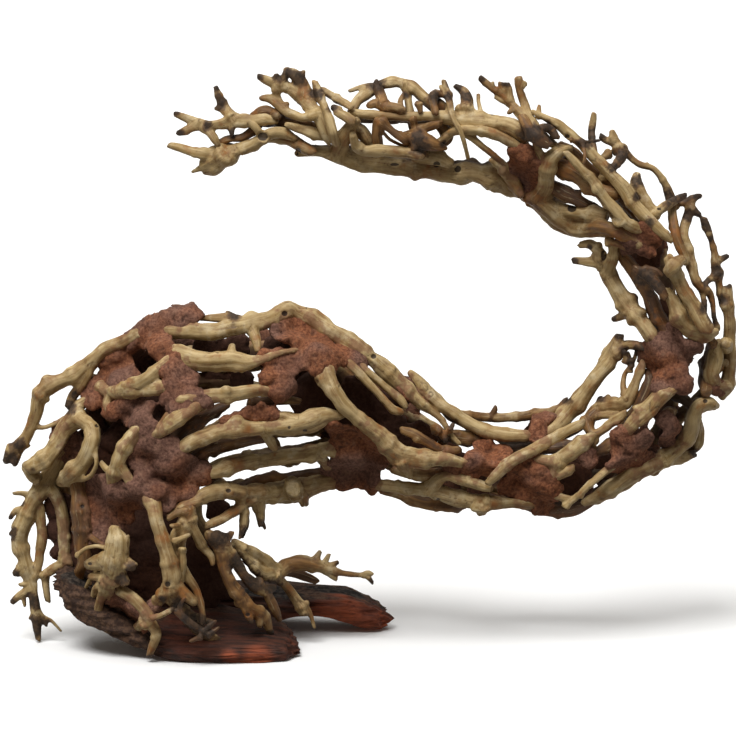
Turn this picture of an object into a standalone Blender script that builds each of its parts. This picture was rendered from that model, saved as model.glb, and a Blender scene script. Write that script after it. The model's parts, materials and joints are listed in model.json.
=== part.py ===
"""Dry root: an S-shaped piece of aquarium driftwood, glued up from many azalea roots.

The roots lie like a basket around an S-shaped line, held by lumps of wood-dust paste, on two
slabs of red wood. Routes are drawn on a plane that leans back by LEAN: each point is (across,
up, radius) in millimetres, with an optional fourth number that brings it forward. Depth comes
from the skin of the bundle around its middle line, plus a lift for each root that says which
one passes over which. Roots that cross are then pushed apart until they only touch.
"""

import math

import bmesh
import bpy
import numpy as np
from mathutils import Vector

MM = 0.001
LEAN = math.radians(12.0)      # how far the drawing plane leans back
FRONT_EDGE = -55.0             # depth of the drawing plane's lowest edge, mm
SHIFT_Y = 2.0                  # moves the whole part so that its box is centred, mm
SKIN_DEPTH = 0.78              # depth of the bundle over its width
GAP = 0.30                     # space left between two pieces that touch, mm
TRIM_GAPS = (0.35, 0.45, 0.6, 0.8, 1.1)    # spaces tried where a neighbour is cut free, mm
SETTLE_STEPS = 90              # rounds of pushing crossing roots apart
PUSH = 0.3                     # share of an overlap that one round takes away on each side
PULL = 0.01                    # share of the way back to its drawn depth, each round
DEEP = 9.0                     # overlaps deeper than this are forks, and stay, mm
FADE = 25.0                    # length over which a side root leaves its parent's depth, mm
SLAB_REACH = 62.0              # roots that come lower than this may meet a slab, mm
SHARP = math.radians(50)       # edges sharper than this are not shaded smooth
SAMPLE = 3.0                   # spacing of the points used for that, mm

# Middle line of the bundle: across, up, half width, in mm.
SPINE = (
    (-98, 13, 60), (-109, 57, 60), (-112, 106, 58), (-98, 139, 55), (-65, 150, 52),
    (-21, 145, 42), (17, 123, 33), (61, 103, 30), (105, 103, 28), (144, 123, 28),
    (168, 156, 29), (171, 189, 28), (155, 227, 26), (127, 260, 24), (94, 282, 23),
    (56, 290, 22), (17, 293, 20), (-21, 296, 17), (-60, 293, 14), (-93, 285, 12),
)

# Each root: (side, lift, strands). The first strand is the main root and the others grow from it.
ROOTS = {
    "left_arm_root": ("front", 4, (
        ((-126, 182, 4.0), (-145, 173, 4.5), (-153, 166, 4.6), (-161, 160, 4.5), (-170, 155, 4.5),
         (-179, 151, 4.4), (-182.5, 145, 4.0), (-183.5, 138, 3.6), (-186, 130, 3.4),
         (-189, 124, 3.4), (-193, 120, 4.2), (-197.5, 117, 3.4), (-200, 111, 2.8)),
        ((-190, 122, 3.0), (-194, 116, 3.0), (-196, 110, 2.8)),
        ((-152, 166, 3.2), (-155, 158, 3.0), (-159, 152, 3.0), (-163, 147, 3.0), (-165, 141, 3.4)),
        ((-185, 131, 1.7), (-179, 129.5, 1.5), (-172, 132, 1.5), (-166, 136, 1.5)),
    )),
    "left_antler_root": ("front", 2, (
        ((-164, 121, 4.0), (-170, 113, 4.5), (-175, 104, 4.6), (-180, 97, 5.0), (-184, 92, 5.4),
         (-187, 86, 5.0), (-190, 80, 4.8), (-193, 74, 4.4), (-193, 66, 3.8), (-190.5, 58, 3.4),
         (-189, 50, 3.2), (-187, 43, 3.8), (-185, 35, 3.0), (-184, 25, 2.6), (-183, 13, 2.4)),
        ((-184, 92, 3.0), (-181, 84, 2.7), (-180, 70, 2.7), (-182, 56, 2.7), (-186, 44, 2.6)),
        ((-178, 99, 3.6), (-173, 93, 3.6), (-170, 86, 3.5), (-168.5, 74, 3.4), (-168, 62, 3.6),
         (-168, 55, 3.4), (-174, 52, 3.0), (-180, 48, 2.8)),
        ((-179, 49, 2.6), (-178, 41, 2.4), (-177, 34, 2.3)),
        ((-186, 92, 2.4), (-191, 94, 1.8), (-196, 93.5, 1.4)),
        ((-189, 85, 2.2), (-195, 85, 2.0), (-198, 80, 1.8)),
        ((-190, 54, 2.4), (-195, 49, 2.6)),
        ((-187, 41, 2.2), (-193, 37, 2.0), (-197, 33, 2.0)),
        ((-184, 29, 2.0), (-178, 21, 1.7)),
    )),
    "knot_root": ("front", 11, (
        ((-153, 147, 3.2), (-160, 141, 3.8), (-159, 134, 4.2), (-152, 130, 4.4), (-151, 124, 4.4),
         (-153, 117, 4.4), (-158, 110, 4.5), (-164, 104, 4.2), (-170, 100, 3.4)),
        ((-160, 136, 4.0), (-166, 130, 4.8), (-171, 122, 5.0), (-176, 115, 5.6), (-182, 110.5, 6.0),
         (-188, 108, 4.6)),
    )),
    "splinter_fork_root": ("front", 12, (
        ((-107, 168, 3.2), (-113, 164, 3.5), (-121, 157, 3.9), (-130, 151, 4.3), (-138, 148.5, 4.2),
         (-145, 151, 3.4), (-150, 153, 2.2)),
        ((-130, 151, 3.9), (-118, 151, 4.0), (-108, 153, 3.8)),
        ((-141, 149, 3.2), (-144, 144, 2.5), (-142, 138, 2.2)),
    )),
    "y_root": ("front", 11, (
        ((-123, 133, 3.6), (-128, 127, 4.0), (-133, 120, 4.2), (-137, 112, 4.4), (-139, 105, 4.2),
         (-141, 98, 3.4)),
        ((-138, 108, 2.6), (-143, 106, 2.0), (-147, 111, 1.7)),
        ((-137, 110, 3.0), (-132, 103, 2.8), (-129, 97, 2.6)),
    )),
    "stained_column_root": ("front", 5, (
        ((-163, 107, 3.4), (-160, 98, 4.5), (-158, 87, 5.0), (-157, 76, 5.0), (-157, 66, 5.4),
         (-157, 57, 4.2), (-160, 49, 2.6), (-159.5, 40, 2.2), (-158, 29, 2.0)),
        ((-156, 73, 1.8), (-152, 69, 1.5), (-146, 66, 1.4), (-142, 64, 1.4)),
        ((-159.5, 41, 1.6), (-153, 44, 1.4)),
    )),
    "front_column_root": ("front", 12, (
        ((-123, 97, 4.0), (-119, 90, 4.8), (-116, 81, 4.3), (-113, 70, 4.1), (-110, 58, 4.2),
         (-108, 48, 4.6), (-110, 41, 3.9), (-115, 35, 3.3), (-119, 30, 2.8)),
        ((-108, 45, 3.8), (-101, 40, 3.4), (-95, 34.5, 3.0)),
        ((-108, 43, 3.6), (-106, 34, 4.2, -6), (-100, 26, 4.2, -14), (-94, 19, 3.6, -16),
         (-87, 14.5, 3.0, -16), (-80, 11.5, 2.0, -16)),
    )),
    "pale_knotty_root": ("front", 14, (
        ((-139, 75, 3.6), (-137, 67, 5.4), (-138, 58, 6.6), (-140, 50, 5.8), (-144, 44, 4.0),
         (-147.5, 35, 2.5), (-149, 27, 2.4), (-147, 21.5, 2.3), (-142, 18, 2.0)),
        ((-140, 57, 4.4), (-148, 56, 4.0), (-155, 55, 3.2)),
        ((-142, 48, 3.2), (-148, 48, 2.4), (-153, 48, 1.8)),
        ((-145, 46, 2.4), (-151, 42, 1.6), (-153, 31, 1.4)),
        ((-137, 56, 3.2), (-129.5, 53, 2.8)),
    )),
    "ring_root": ("front", 10, (
        ((-140, 42, 2.8), (-133, 39, 3.6), (-127, 35, 3.6), (-122.5, 30, 3.6), (-121, 24, 3.8),
         (-116, 17, 2.8), (-118.5, 11, 2.5), (-121, 5, 2.2)),
        ((-122, 24, 3.2), (-128, 20, 2.8)),
    )),
    "crook_root": ("front", 9, (
        ((-98, 86, 3.8), (-99, 78, 4.2), (-103, 70, 3.8), (-104, 61, 3.5), (-103, 53, 3.2),
         (-98.5, 47, 2.4), (-94, 41, 1.9), (-91.5, 32, 1.8), (-91, 22, 1.6)),
        ((-98, 80, 3.0), (-95, 72, 2.8), (-91, 64, 2.5), (-86.5, 60, 2.1), (-85.5, 55, 1.6)),
        ((-100, 78, 3.0), (-106, 73, 3.0), (-107, 66, 2.0)),
        ((-100, 84, 2.8), (-104, 84, 2.4), (-110, 80, 1.8)),
    )),
    "stump_leg_root": ("front", 12, (
        ((-88, 71, 4.0), (-82, 68, 5.4), (-80, 60, 4.2), (-78, 52, 3.8), (-75, 44, 3.8),
         (-71, 37, 4.0), (-65, 31, 3.8), (-58, 27, 3.4), (-55.5, 21, 2.6), (-54, 17, 2.0)),
        ((-82, 68, 4.0), (-77, 70, 3.0), (-75, 73, 1.8)),
        ((-81, 66, 4.0), (-74, 57, 3.6), (-69, 49, 3.4), (-64, 44, 3.9), (-58, 40, 3.6),
         (-52, 42, 1.8)),
        ((-70, 36, 3.2), (-67.5, 29, 3.0), (-65, 23, 2.3)),
        ((-61, 29, 3.0), (-60, 21, 2.3)),
    )),
    "hand_root": ("front", 8, (
        ((-72, 63, 2.4), (-65, 55, 2.8), (-58, 49.5, 3.4), (-51, 50, 4.0), (-45, 54, 4.6),
         (-38, 56, 4.6), (-30, 54.5, 4.0), (-23, 52, 3.0), (-16, 50, 2.1), (-8, 48.5, 1.8),
         (-1, 48, 2.0), (2, 44, 1.4)),
        ((-51, 51, 3.4), (-58, 57.5, 3.6), (-66, 62, 3.4), (-74, 67, 2.8)),
        ((-30, 56, 2.2), (-27, 61.5, 1.6)),
        ((-24, 53, 2.0), (-17, 55.5, 1.6)),
        ((-24, 51, 2.0), (-18, 46, 1.6)),
        ((-53, 49, 3.0), (-47, 44, 2.7), (-42, 38, 2.8), (-38, 32, 3.2), (-35.5, 27, 3.2)),
    )),
    "crest_root": ("front", 1, (
        ((-116, 184, 4.2), (-100, 182.5, 5.0), (-85, 183, 5.0), (-70, 185, 5.0), (-59, 188, 5.0),
         (-50, 192, 4.6), (-44, 195, 4.6), (-36, 192, 4.9), (-27, 187, 5.0), (-15, 179.5, 5.0),
         (-5, 173, 5.0), (3, 166.5, 4.6), (10, 160, 4.5), (16, 154.5, 4.5), (22, 149, 4.2),
         (28, 143, 3.6), (33.5, 139.5, 2.2), (39, 135, 1.8), (43, 130, 1.7), (46, 125, 1.7),
         (50, 121, 1.6)),
        ((-64, 185, 3.2), (-62, 178, 2.6), (-61, 172, 2.0)),
        ((-66, 187, 2.8), (-76, 190, 2.8), (-86, 190.5, 2.4), (-93, 190, 1.8)),
    )),
    "upper_band_root": ("front", 3, (
        ((-113, 172, 4.0), (-104, 169, 5.2), (-95, 167, 5.5), (-85, 166, 5.5), (-75, 167, 5.2),
         (-66, 166, 4.4), (-57, 168, 2.4), (-47, 171, 1.8), (-36, 173, 1.6)),
        ((-76, 168, 3.2), (-75, 175, 2.4)),
    )),
    "middle_band_root": ("front", 4, (
        ((-109, 145, 3.2), (-98, 146, 4.0), (-88, 147, 4.2), (-75, 149, 4.2), (-62, 151, 4.0),
         (-50, 150, 3.2)),
    )),
    "splinter_band_root": ("front", 8, (
        ((-120, 124, 2.8), (-114, 128, 3.6), (-108, 132, 4.0), (-101, 137, 4.0), (-94, 142, 3.4),
         (-89, 145, 2.2)),
        ((-113, 129, 3.0), (-110, 136, 2.7), (-107, 141, 2.2)),
    )),
    "pointed_root": ("front", 7, (
        ((-107, 116, 3.2), (-101, 120, 4.2), (-93, 124, 4.6), (-84, 128, 5.0), (-74, 131, 5.0),
         (-64, 130, 4.6), (-54, 130, 4.6), (-45, 130.5, 5.2), (-37, 132, 6.2), (-30, 134, 6.8),
         (-23, 136, 5.2), (-17, 137, 3.0), (-13, 137, 1.4)),
        ((-39, 133, 3.6), (-47, 137, 3.0), (-55, 137, 2.0)),
        ((-58, 130, 3.2), (-54, 123, 2.6), (-51, 118, 1.9)),
    )),
    "lower_band_root": ("front", 6, (
        ((-91, 104, 3.0), (-82, 107, 4.0), (-72, 110, 4.5), (-60, 112, 4.5), (-48, 114, 4.5),
         (-38, 115, 4.6), (-29, 117, 4.6), (-22, 120, 3.8), (-17, 122.5, 2.6)),
        ((-28, 116, 3.2), (-22, 108, 2.4)),
        ((-24, 118, 3.0), (-12, 115.5, 2.4)),
    )),
    "keel_root": ("front", 5, (
        ((-110, 81, 2.6), (-103, 86, 3.4), (-95, 90.5, 3.8), (-88, 94, 4.5), (-80, 95.5, 5.0),
         (-70, 94, 5.5), (-58, 93, 5.6), (-46, 95, 5.8), (-34, 97, 5.2), (-24, 100, 4.0),
         (-14, 101, 3.2)),
        ((-38, 95, 3.6), (-36, 87.5, 2.5)),
        ((-71, 93, 3.0), (-69, 84, 2.4), (-69, 76, 2.2), (-71, 69, 1.3)),
        ((-62, 92, 4.0), (-60, 83, 2.8), (-60, 76, 1.6)),
        ((-66, 91, 3.6), (-73, 85, 3.0), (-81, 80, 2.5), (-89, 76, 2.4)),
    )),
    "flared_root": ("front", 9, (
        ((-25, 166, 6.0), (-24, 158, 5.6), (-20, 150, 4.7), (-15, 143, 4.5), (-8, 137, 4.5),
         (-1, 131.5, 4.5), (6, 125.5, 4.7), (12, 119.5, 5.4), (19, 114, 6.0), (27, 112.5, 5.6),
         (35, 113, 4.6), (43, 112.5, 3.8), (50, 111, 3.4), (57, 110.5, 2.4)),
        ((18, 113, 4.0), (21, 107, 2.8), (22, 102.5, 2.0)),
    )),
    "long_peeled_root": ("front", 6, (
        ((22, 160, 2.6), (26, 156, 3.6), (31, 150, 3.8), (37, 144.5, 3.8), (44, 139, 3.8),
         (52, 134, 3.8), (60, 129.5, 3.8), (68, 127, 3.8), (77, 125.5, 4.0), (86, 125.5, 3.8),
         (93, 126.5, 2.8)),
    )),
    "back_edge_root": ("front", -6, (
        ((44, 138.5, 2.0), (52, 137, 2.3), (62, 135.5, 2.4), (72, 135, 2.6), (82, 136, 3.0),
         (91, 137, 3.2), (100, 138, 2.8), (106, 141, 2.2), (109, 146, 1.4)),
        ((67, 135, 2.0), (70, 141.5, 1.7)),
    )),
    "keel_middle_root": ("front", 6, (
        ((2, 98, 2.4), (10, 97.5, 3.2), (20, 96.5, 3.6), (30, 96, 3.8), (40, 94, 4.2),
         (48, 91.5, 4.4), (56, 89.5, 4.6), (63, 88.5, 5.0), (71, 89, 3.8), (79, 89, 3.2),
         (88, 87.5, 2.6), (94, 86, 2.0)),
        ((62, 88, 4.4), (62, 83, 3.2)),
        ((33, 96, 3.4), (38, 101, 3.0), (43, 104, 2.8), (50, 102, 3.2), (58, 99.5, 3.2),
         (67, 96.5, 2.8)),
    )),
    "diagonal_root": ("front", 12, (
        ((65, 99, 2.4), (69, 103, 2.8), (75, 109, 3.0), (83, 114, 3.2), (92, 119.5, 3.2),
         (101, 124, 3.2), (110, 128.5, 3.2), (118, 132.5, 2.8)),
    )),
    "yellow_root": ("front", 6, (
        ((88, 113, 2.6), (94, 112, 4.0), (100, 111, 4.8), (106, 114, 5.0), (112, 118, 5.0),
         (118, 122, 4.0), (123, 126, 2.8)),
        ((103, 111, 3.6), (101, 104, 3.2), (95, 99, 2.4)),
    )),
    "tall_branch_root": ("front", 3, (
        ((97, 125, 3.2), (104, 131, 3.8), (110, 138, 4.0), (116, 144, 4.2), (121, 151, 3.8),
         (126, 158, 3.8), (131, 165, 4.0), (135, 171, 4.2), (137, 176, 3.4), (138.5, 180, 2.4)),
        ((136, 171, 3.4), (142, 175, 3.0), (147, 175, 2.4), (152, 173, 2.0)),
    )),
    "knobby_root": ("front", 0, (
        ((118, 130, 2.8), (122, 136, 3.6), (127, 140, 4.2), (133, 142, 4.4), (139, 142.5, 4.0),
         (143, 147, 3.2), (145.5, 154, 2.8), (148.5, 161, 2.4), (151, 168, 1.8)),
        ((141, 145, 2.6), (139.5, 153, 1.8), (140.5, 160, 1.7), (145, 164, 1.6)),
        ((126, 140, 3.0), (127, 146.5, 2.0)),
        ((120, 133, 2.8), (123, 126, 3.0), (129, 129, 3.0), (136, 134, 2.8), (141, 138, 2.6)),
    )),
    "dark_edge_root": ("front", -4, (
        ((124, 116, 2.8), (131, 119, 3.6), (137.5, 123.5, 4.0), (142, 129, 4.0), (146, 136, 4.0),
         (150, 143, 4.0), (153, 150, 3.8), (155, 157, 3.2), (152, 161, 2.2)),
    )),
    "amber_root": ("front", 7, (
        ((139, 126, 3.0), (144, 131, 4.6), (150, 137, 5.0), (156, 143, 5.0), (162, 148, 4.6),
         (168, 152, 3.4), (173, 153.5, 2.4)),
    )),
    "sweep_root": ("front", 3, (
        ((118, 88, 2.8), (124, 91.5, 3.8), (131, 96, 4.4), (139, 101, 4.8), (147, 105.5, 4.9),
         (155, 109.5, 4.7), (163, 112.5, 4.3), (171, 113.5, 3.9), (179, 115.5, 2.6)),
        ((162, 113, 3.8), (169, 117.5, 4.0), (174.5, 122.5, 4.3), (177.5, 129, 4.4),
         (177.5, 136, 4.4), (180.5, 142, 4.5), (186, 144, 4.1), (191, 142, 2.6)),
    )),
    "outer_rim_root": ("front", 1, (
        ((194, 146, 2.6), (197, 152, 3.9), (198.5, 161, 3.7), (199, 170, 3.5), (198.5, 180, 3.4),
         (197.5, 190, 3.3), (196.5, 199, 3.4), (196.5, 207, 3.3)),
        ((196, 152, 3.2), (190, 154, 4.0), (187, 160, 4.8), (190, 168, 5.0), (191, 176, 4.2)),
    )),
    "fork_branch_root": ("front", 6, (
        ((158, 174, 3.2), (154, 181, 4.5), (149, 188, 4.8), (143.5, 194, 5.2), (139, 201, 4.5),
         (135, 208, 4.3), (131, 215, 4.9), (127, 221, 4.6), (126, 227, 3.0), (121.5, 231, 2.6),
         (116, 230, 2.4)),
        ((127, 220.5, 3.4), (119.5, 220.5, 2.5), (112, 221.5, 2.2)),
        ((131, 215, 3.4), (133.5, 222, 2.8), (133.5, 229, 2.6), (131, 234, 2.0)),
        ((143, 193, 3.2), (138, 191, 2.4), (134, 189.5, 2.2)),
        ((144, 194, 3.2), (150.5, 193, 2.2)),
    )),
    "dark_column_root": ("front", -4, (
        ((134, 229, 2.8), (141, 222, 4.2), (147, 213, 4.6), (152, 204, 4.8), (157, 195, 4.8),
         (161, 187, 5.0), (164, 179, 4.6)),
    )),
    "rosette_root": ("front", 8, (
        ((163, 223, 3.2), (167, 216, 4.0), (171, 208, 4.1), (175, 201, 4.4), (179, 194, 4.6),
         (182.5, 188, 5.0), (185, 184, 5.2, 5)),
    )),
    "flared_block_root": ("front", 5, (
        ((163, 206, 2.6), (166, 200.5, 4.0), (168.5, 194.5, 4.3), (172, 189, 4.6), (177, 184, 5.4),
         (184, 181.5, 4.8), (190.5, 183, 2.6)),
    )),
    "right_twig_root": ("front", -2, (
        ((180, 257, 1.6), (176, 252, 2.6), (175.5, 246, 2.9), (173, 240, 2.8), (172, 234, 2.8),
         (175, 227, 3.0), (177, 219, 2.8), (178.5, 212.5, 2.7), (182, 207, 2.8), (187, 204.5, 2.4),
         (189, 198, 1.6), (189.5, 191, 1.5), (191.5, 183, 1.6)),
        ((176, 250, 2.4), (181, 247, 2.3)),
        ((183, 207, 1.8), (187, 211.5, 1.7), (191, 213, 3.0), (190.5, 219, 3.0), (190, 225, 2.2),
         (188, 232, 2.0), (186, 239, 2.5), (183.5, 244.5, 2.8)),
        ((191, 215, 2.8), (192.5, 208, 2.4), (194, 201, 2.8), (195.5, 194, 2.6)),
        ((190, 220, 2.2), (197, 224, 1.8)),
    )),
    "crown_loop_root": ("front", 1, (
        ((133, 292.5, 1.9), (134, 288, 2.8), (137, 284, 2.8), (141, 280.5, 2.4), (144.5, 276.5, 2.2),
         (149, 273.5, 2.2), (155, 272.5, 2.2), (159, 268.5, 2.2), (163, 262.5, 2.4),
         (165, 256, 3.4), (166, 249, 2.9), (167, 242, 3.0), (168, 235, 3.0), (170.5, 228, 3.0),
         (174, 220, 2.8)),
        ((137.5, 283, 2.8), (138.5, 277.5, 3.2), (135, 273, 2.4), (130, 270.5, 2.0)),
        ((134, 287, 2.2), (130, 287, 1.8), (127, 290, 1.9)),
    )),
    "long_straight_root": ("front", 8, (
        ((89, 303, 1.5), (94, 300, 2.2), (99, 297, 2.4), (104, 295, 2.8), (110, 289.5, 3.4),
         (118, 283, 3.4), (126, 275.5, 3.6), (133, 267.5, 3.6), (140, 258.5, 3.8),
         (147, 249.5, 3.8), (154, 241.5, 3.8), (160, 236, 3.3), (165, 232, 2.2)),
    )),
    "second_straight_root": ("front", 10, (
        ((107, 280, 2.4), (113, 274.5, 3.0), (120, 267.5, 3.0), (126, 260, 3.2), (132, 252, 3.2),
         (137, 245, 3.2), (141, 240.5, 3.2), (147, 238, 2.9), (152, 238, 2.0)),
    )),
    "knotted_spur_root": ("front", 5, (
        ((147, 269, 2.6), (146, 263, 3.4), (149.5, 257, 3.5), (153, 251, 3.4), (157, 247, 3.0),
         (163, 251.5, 2.8), (168.5, 255.5, 2.5), (173.5, 257.5, 2.0)),
        ((156, 247, 3.0), (152.5, 242.5, 2.6)),
    )),
    "under_bend_root": ("front", 4, (
        ((86, 256, 3.6), (92, 255.5, 5.3), (98, 250.5, 6.0), (104.5, 244.5, 6.0), (112.5, 240.5, 5.8),
         (121, 239.5, 5.4), (129, 239, 5.0), (137, 238, 4.0), (145, 233, 3.4), (151, 228, 2.4)),
        ((93, 256, 4.4), (96, 263, 4.4), (97, 270, 4.4), (98, 277, 4.2), (103.5, 282, 3.8),
         (110, 283, 2.8)),
        ((97, 272, 3.0), (93.5, 279, 2.2), (90, 285.5, 1.8)),
        ((103, 249, 4.0), (110, 248.5, 4.0), (119, 247, 3.8), (129, 245.5, 3.7)),
    )),
    "brown_bridge_root": ("front", -3, (
        ((104, 285.5, 2.6), (110, 281.5, 3.2), (116, 276, 3.4), (122, 270, 4.0), (128, 265, 4.6),
         (134, 260, 4.8), (141, 255, 4.8), (147.5, 249, 3.8), (152, 243.5, 2.6)),
    )),
    "crown_twig_root": ("front", 3, (
        ((81, 321, 3.0), (82, 314, 2.6), (85, 307, 2.7), (88, 299.5, 2.8), (91, 293, 3.0),
         (96, 287.5, 3.2), (102, 284, 2.6)),
        ((90, 294, 2.8), (86.5, 297.5, 3.2), (83, 301.5, 2.9), (78.5, 306.5, 2.5), (74, 311.5, 2.3),
         (67, 316, 2.0), (60.5, 321, 2.2)),
        ((77, 309, 2.2), (77, 314, 2.2), (75, 318, 2.4)),
        ((78, 307, 1.7), (73, 308.5, 1.5), (69, 311, 1.3)),
    )),
    "arm_lower_root": ("front", 3, (
        ((-38.5, 281, 3.8), (-32, 281.5, 3.7), (-25, 281, 4.0), (-18, 279.5, 5.2), (-9, 277, 5.4),
         (1, 274.5, 5.3), (11, 273, 5.2), (22, 272, 5.5), (33, 271, 6.0), (45, 270, 6.4),
         (57, 269.5, 6.5), (68, 267, 5.8), (77, 262, 4.8), (84, 257.5, 3.2)),
        ((-17, 280, 4.8), (-14, 288, 4.6), (-10, 295, 4.2), (-6, 298, 3.0)),
    )),
    "arm_upper_root": ("front", 2, (
        ((86, 287, 4.4), (80, 293.5, 5.5), (72, 296.5, 6.0), (62, 297.5, 6.2), (52, 298.5, 5.9),
         (42, 299.5, 4.4), (30, 300, 3.3), (18, 300, 3.2), (6, 300, 3.1), (-4, 301, 2.9),
         (-10, 303, 2.4)),
        ((53, 302, 4.4), (54, 309, 3.5), (52.5, 314, 2.9), (47, 317, 1.8)),
        ((44, 300, 3.0), (44, 309, 2.2), (41, 320, 1.5)),
        ((50, 295, 3.0), (43, 290, 2.5), (39, 286, 2.5), (32, 284, 2.4), (27, 283.5, 2.4)),
    )),
    "arch_root": ("front", -3, (
        ((-10, 302, 2.8), (-6.5, 309, 3.2), (0, 314, 3.2), (7, 318, 3.0), (14, 319, 3.0),
         (22, 317, 3.2), (29, 311.5, 3.6), (35, 307, 3.9), (41.5, 303.5, 3.6)),
        ((5, 317, 2.0), (0, 317.5, 1.5), (-6, 316, 1.4), (-11, 314, 1.2)),
        ((19, 318, 2.2), (21.5, 311, 2.1), (22.5, 304, 2.2), (24, 295, 2.8), (27, 288, 3.8),
         (28, 282, 3.0)),
    )),
    "tip_upper_root": ("front", 3, (
        ((-106, 302, 1.8), (-99, 299, 2.4), (-94, 296.5, 3.0), (-87, 295, 2.7), (-81, 295.5, 2.9),
         (-74, 297.5, 3.7), (-66, 298, 3.8), (-58, 298, 4.2), (-51, 297.5, 3.2)),
        ((-94, 295.5, 2.6), (-99, 292.5, 2.3), (-104.5, 291, 1.9)),
        ((-75, 299, 3.0), (-79, 305, 2.9), (-81.5, 310, 2.4), (-83.5, 316.5, 1.6)),
        ((-90, 294.5, 2.5), (-85, 289.5, 2.6), (-82.5, 285, 2.2)),
    )),
    "tip_lower_root": ("front", 5, (
        ((-91, 274, 4.8), (-84, 276.5, 5.7), (-76, 280.5, 4.4), (-68, 282.5, 3.9), (-61, 286, 3.9),
         (-54, 290.5, 3.6), (-46, 291.5, 3.3), (-40, 288, 2.2)),
        ((-84, 279, 3.2), (-92, 280.5, 2.8), (-100, 282, 2.6), (-109, 284.5, 2.3)),
        ((-58, 289, 2.8), (-62, 294, 2.2), (-66, 297, 1.7)),
    )),
    "tip_fan_root": ("front", 5, (
        ((-60.5, 322, 1.8), (-55, 319, 2.7), (-49, 316.5, 3.1), (-42, 315.5, 3.5), (-36, 311, 4.1),
         (-31, 305, 3.7), (-27, 298.5, 3.5), (-24, 292, 3.4), (-21, 286, 3.0)),
        ((-50, 317, 2.4), (-50.5, 323, 1.7)),
        ((-36, 312, 3.6), (-37, 318, 3.8), (-41, 323, 3.2), (-46, 325.5, 1.8)),
        ((-33, 308, 3.0), (-29, 313, 2.6), (-26, 315.5, 2.3), (-21, 312, 2.2), (-14, 307.5, 2.2)),
        ((-29, 301, 3.0), (-37, 298.5, 3.0), (-44, 302, 3.2), (-49, 307, 3.1), (-54, 310, 2.9),
         (-59, 310, 2.0)),
    )),
    "stump_back_root": ("back", 0, (
        ((-152, 158, 4.5), (-142, 140, 5.6), (-130, 120, 6.0), (-120, 98, 6.0), (-113, 76, 5.6),
         (-108, 56, 4.6)),
        ((-130, 120, 5.0), (-146, 104, 5.0), (-154, 82, 4.6), (-152, 62, 3.8)),
        ((-120, 98, 5.0), (-100, 84, 5.0), (-91, 68, 4.6), (-86, 54, 3.8)),
        ((-142, 140, 4.8), (-118, 150, 5.0), (-92, 156, 4.6), (-66, 158, 4.0)),
    )),
    "trunk_crest_back_root": ("back", 2, (
        ((-104, 172, 4.6), (-80, 172, 5.6), (-52, 174, 5.8), (-28, 168, 5.6), (-8, 156, 5.4),
         (12, 143, 5.0), (30, 131, 4.6), (46, 121, 3.8)),
        ((-28, 168, 4.4), (-20, 152, 4.2), (-14, 140, 3.6)),
    )),
    "trunk_back_root": ("back", 3, (
        ((-96, 124, 4.4), (-76, 130, 5.2), (-52, 130, 5.2), (-30, 131, 5.4), (-10, 124, 5.4),
         (8, 114, 5.0), (28, 106, 4.8), (50, 98, 4.8), (72, 96, 4.0)),
        ((-86, 128, 4.4), (-94, 110, 4.4), (-80, 94, 4.6), (-58, 93, 4.8), (-36, 97, 4.6),
         (-14, 101, 4.2), (8, 97, 3.6)),
    )),
    "bend_back_root": ("back", 1, (
        ((62, 114, 4.0), (86, 112, 5.0), (108, 104, 5.2), (130, 103, 5.2), (150, 112, 5.2),
         (163, 130, 5.2), (168, 150, 5.2), (167, 172, 5.2), (166, 194, 5.2), (163, 214, 5.0),
         (157, 232, 4.8), (146, 248, 4.4), (133, 262, 3.8)),
        ((163, 130, 4.2), (176, 140, 4.0), (186, 150, 3.6), (192, 166, 3.2)),
    )),
}

# Lumps of paste: (across, up, radius, depth). Depth is -1 on the front skin and +1 on the back.
PASTE = {
    "stump_paste": (
        (-139, 165, 12, -0.6), (-126, 176, 10, -0.5), (-148, 150, 10, -0.6), (-131, 140, 13, -0.75),
        (-117, 158, 11, -0.7), (-103, 150, 10, -0.7), (-120, 117, 14, -0.7), (-134, 96, 16, -0.75),
        (-144, 80, 13, -0.7), (-121, 98, 12, -0.75), (-128, 62, 14, -0.45), (-122, 46, 12, -0.45),
        (-104, 112, 11, -0.6),
    ),
    "trunk_paste": (
        (-46, 166, 12, -0.6), (-37, 179, 10, -0.4), (-51, 150, 11, -0.65), (-66, 138, 9, -0.7),
        (-30, 150, 12, -0.2), (-14, 136, 12, -0.2), (-8, 118, 15, -0.5), (-12, 104, 11, -0.4),
        (1, 128, 10, -0.4),
    ),
    "middle_paste": (
        (66, 112, 11, -0.6), (56, 106, 9, -0.3), (76, 107, 10, -0.5), (84, 99, 12, -0.6),
        (91, 108, 8, -0.5), (100, 90, 8, -0.1), (112, 87, 7, 0.0),
    ),
    "bend_paste": (
        (163, 165, 12, -0.6), (166, 175, 11, -0.6), (161, 154, 10, -0.5), (152, 128, 11, -0.1),
        (156, 141, 10, 0.0), (147, 116, 10, -0.5), (163, 122, 9, -0.4), (141, 106, 8, -0.2),
    ),
    "crown_paste": (
        (152, 237, 8, -0.3), (157, 228, 9, -0.4), (160, 217, 8, -0.2), (150, 224, 7, -0.2),
    ),
}

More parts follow.
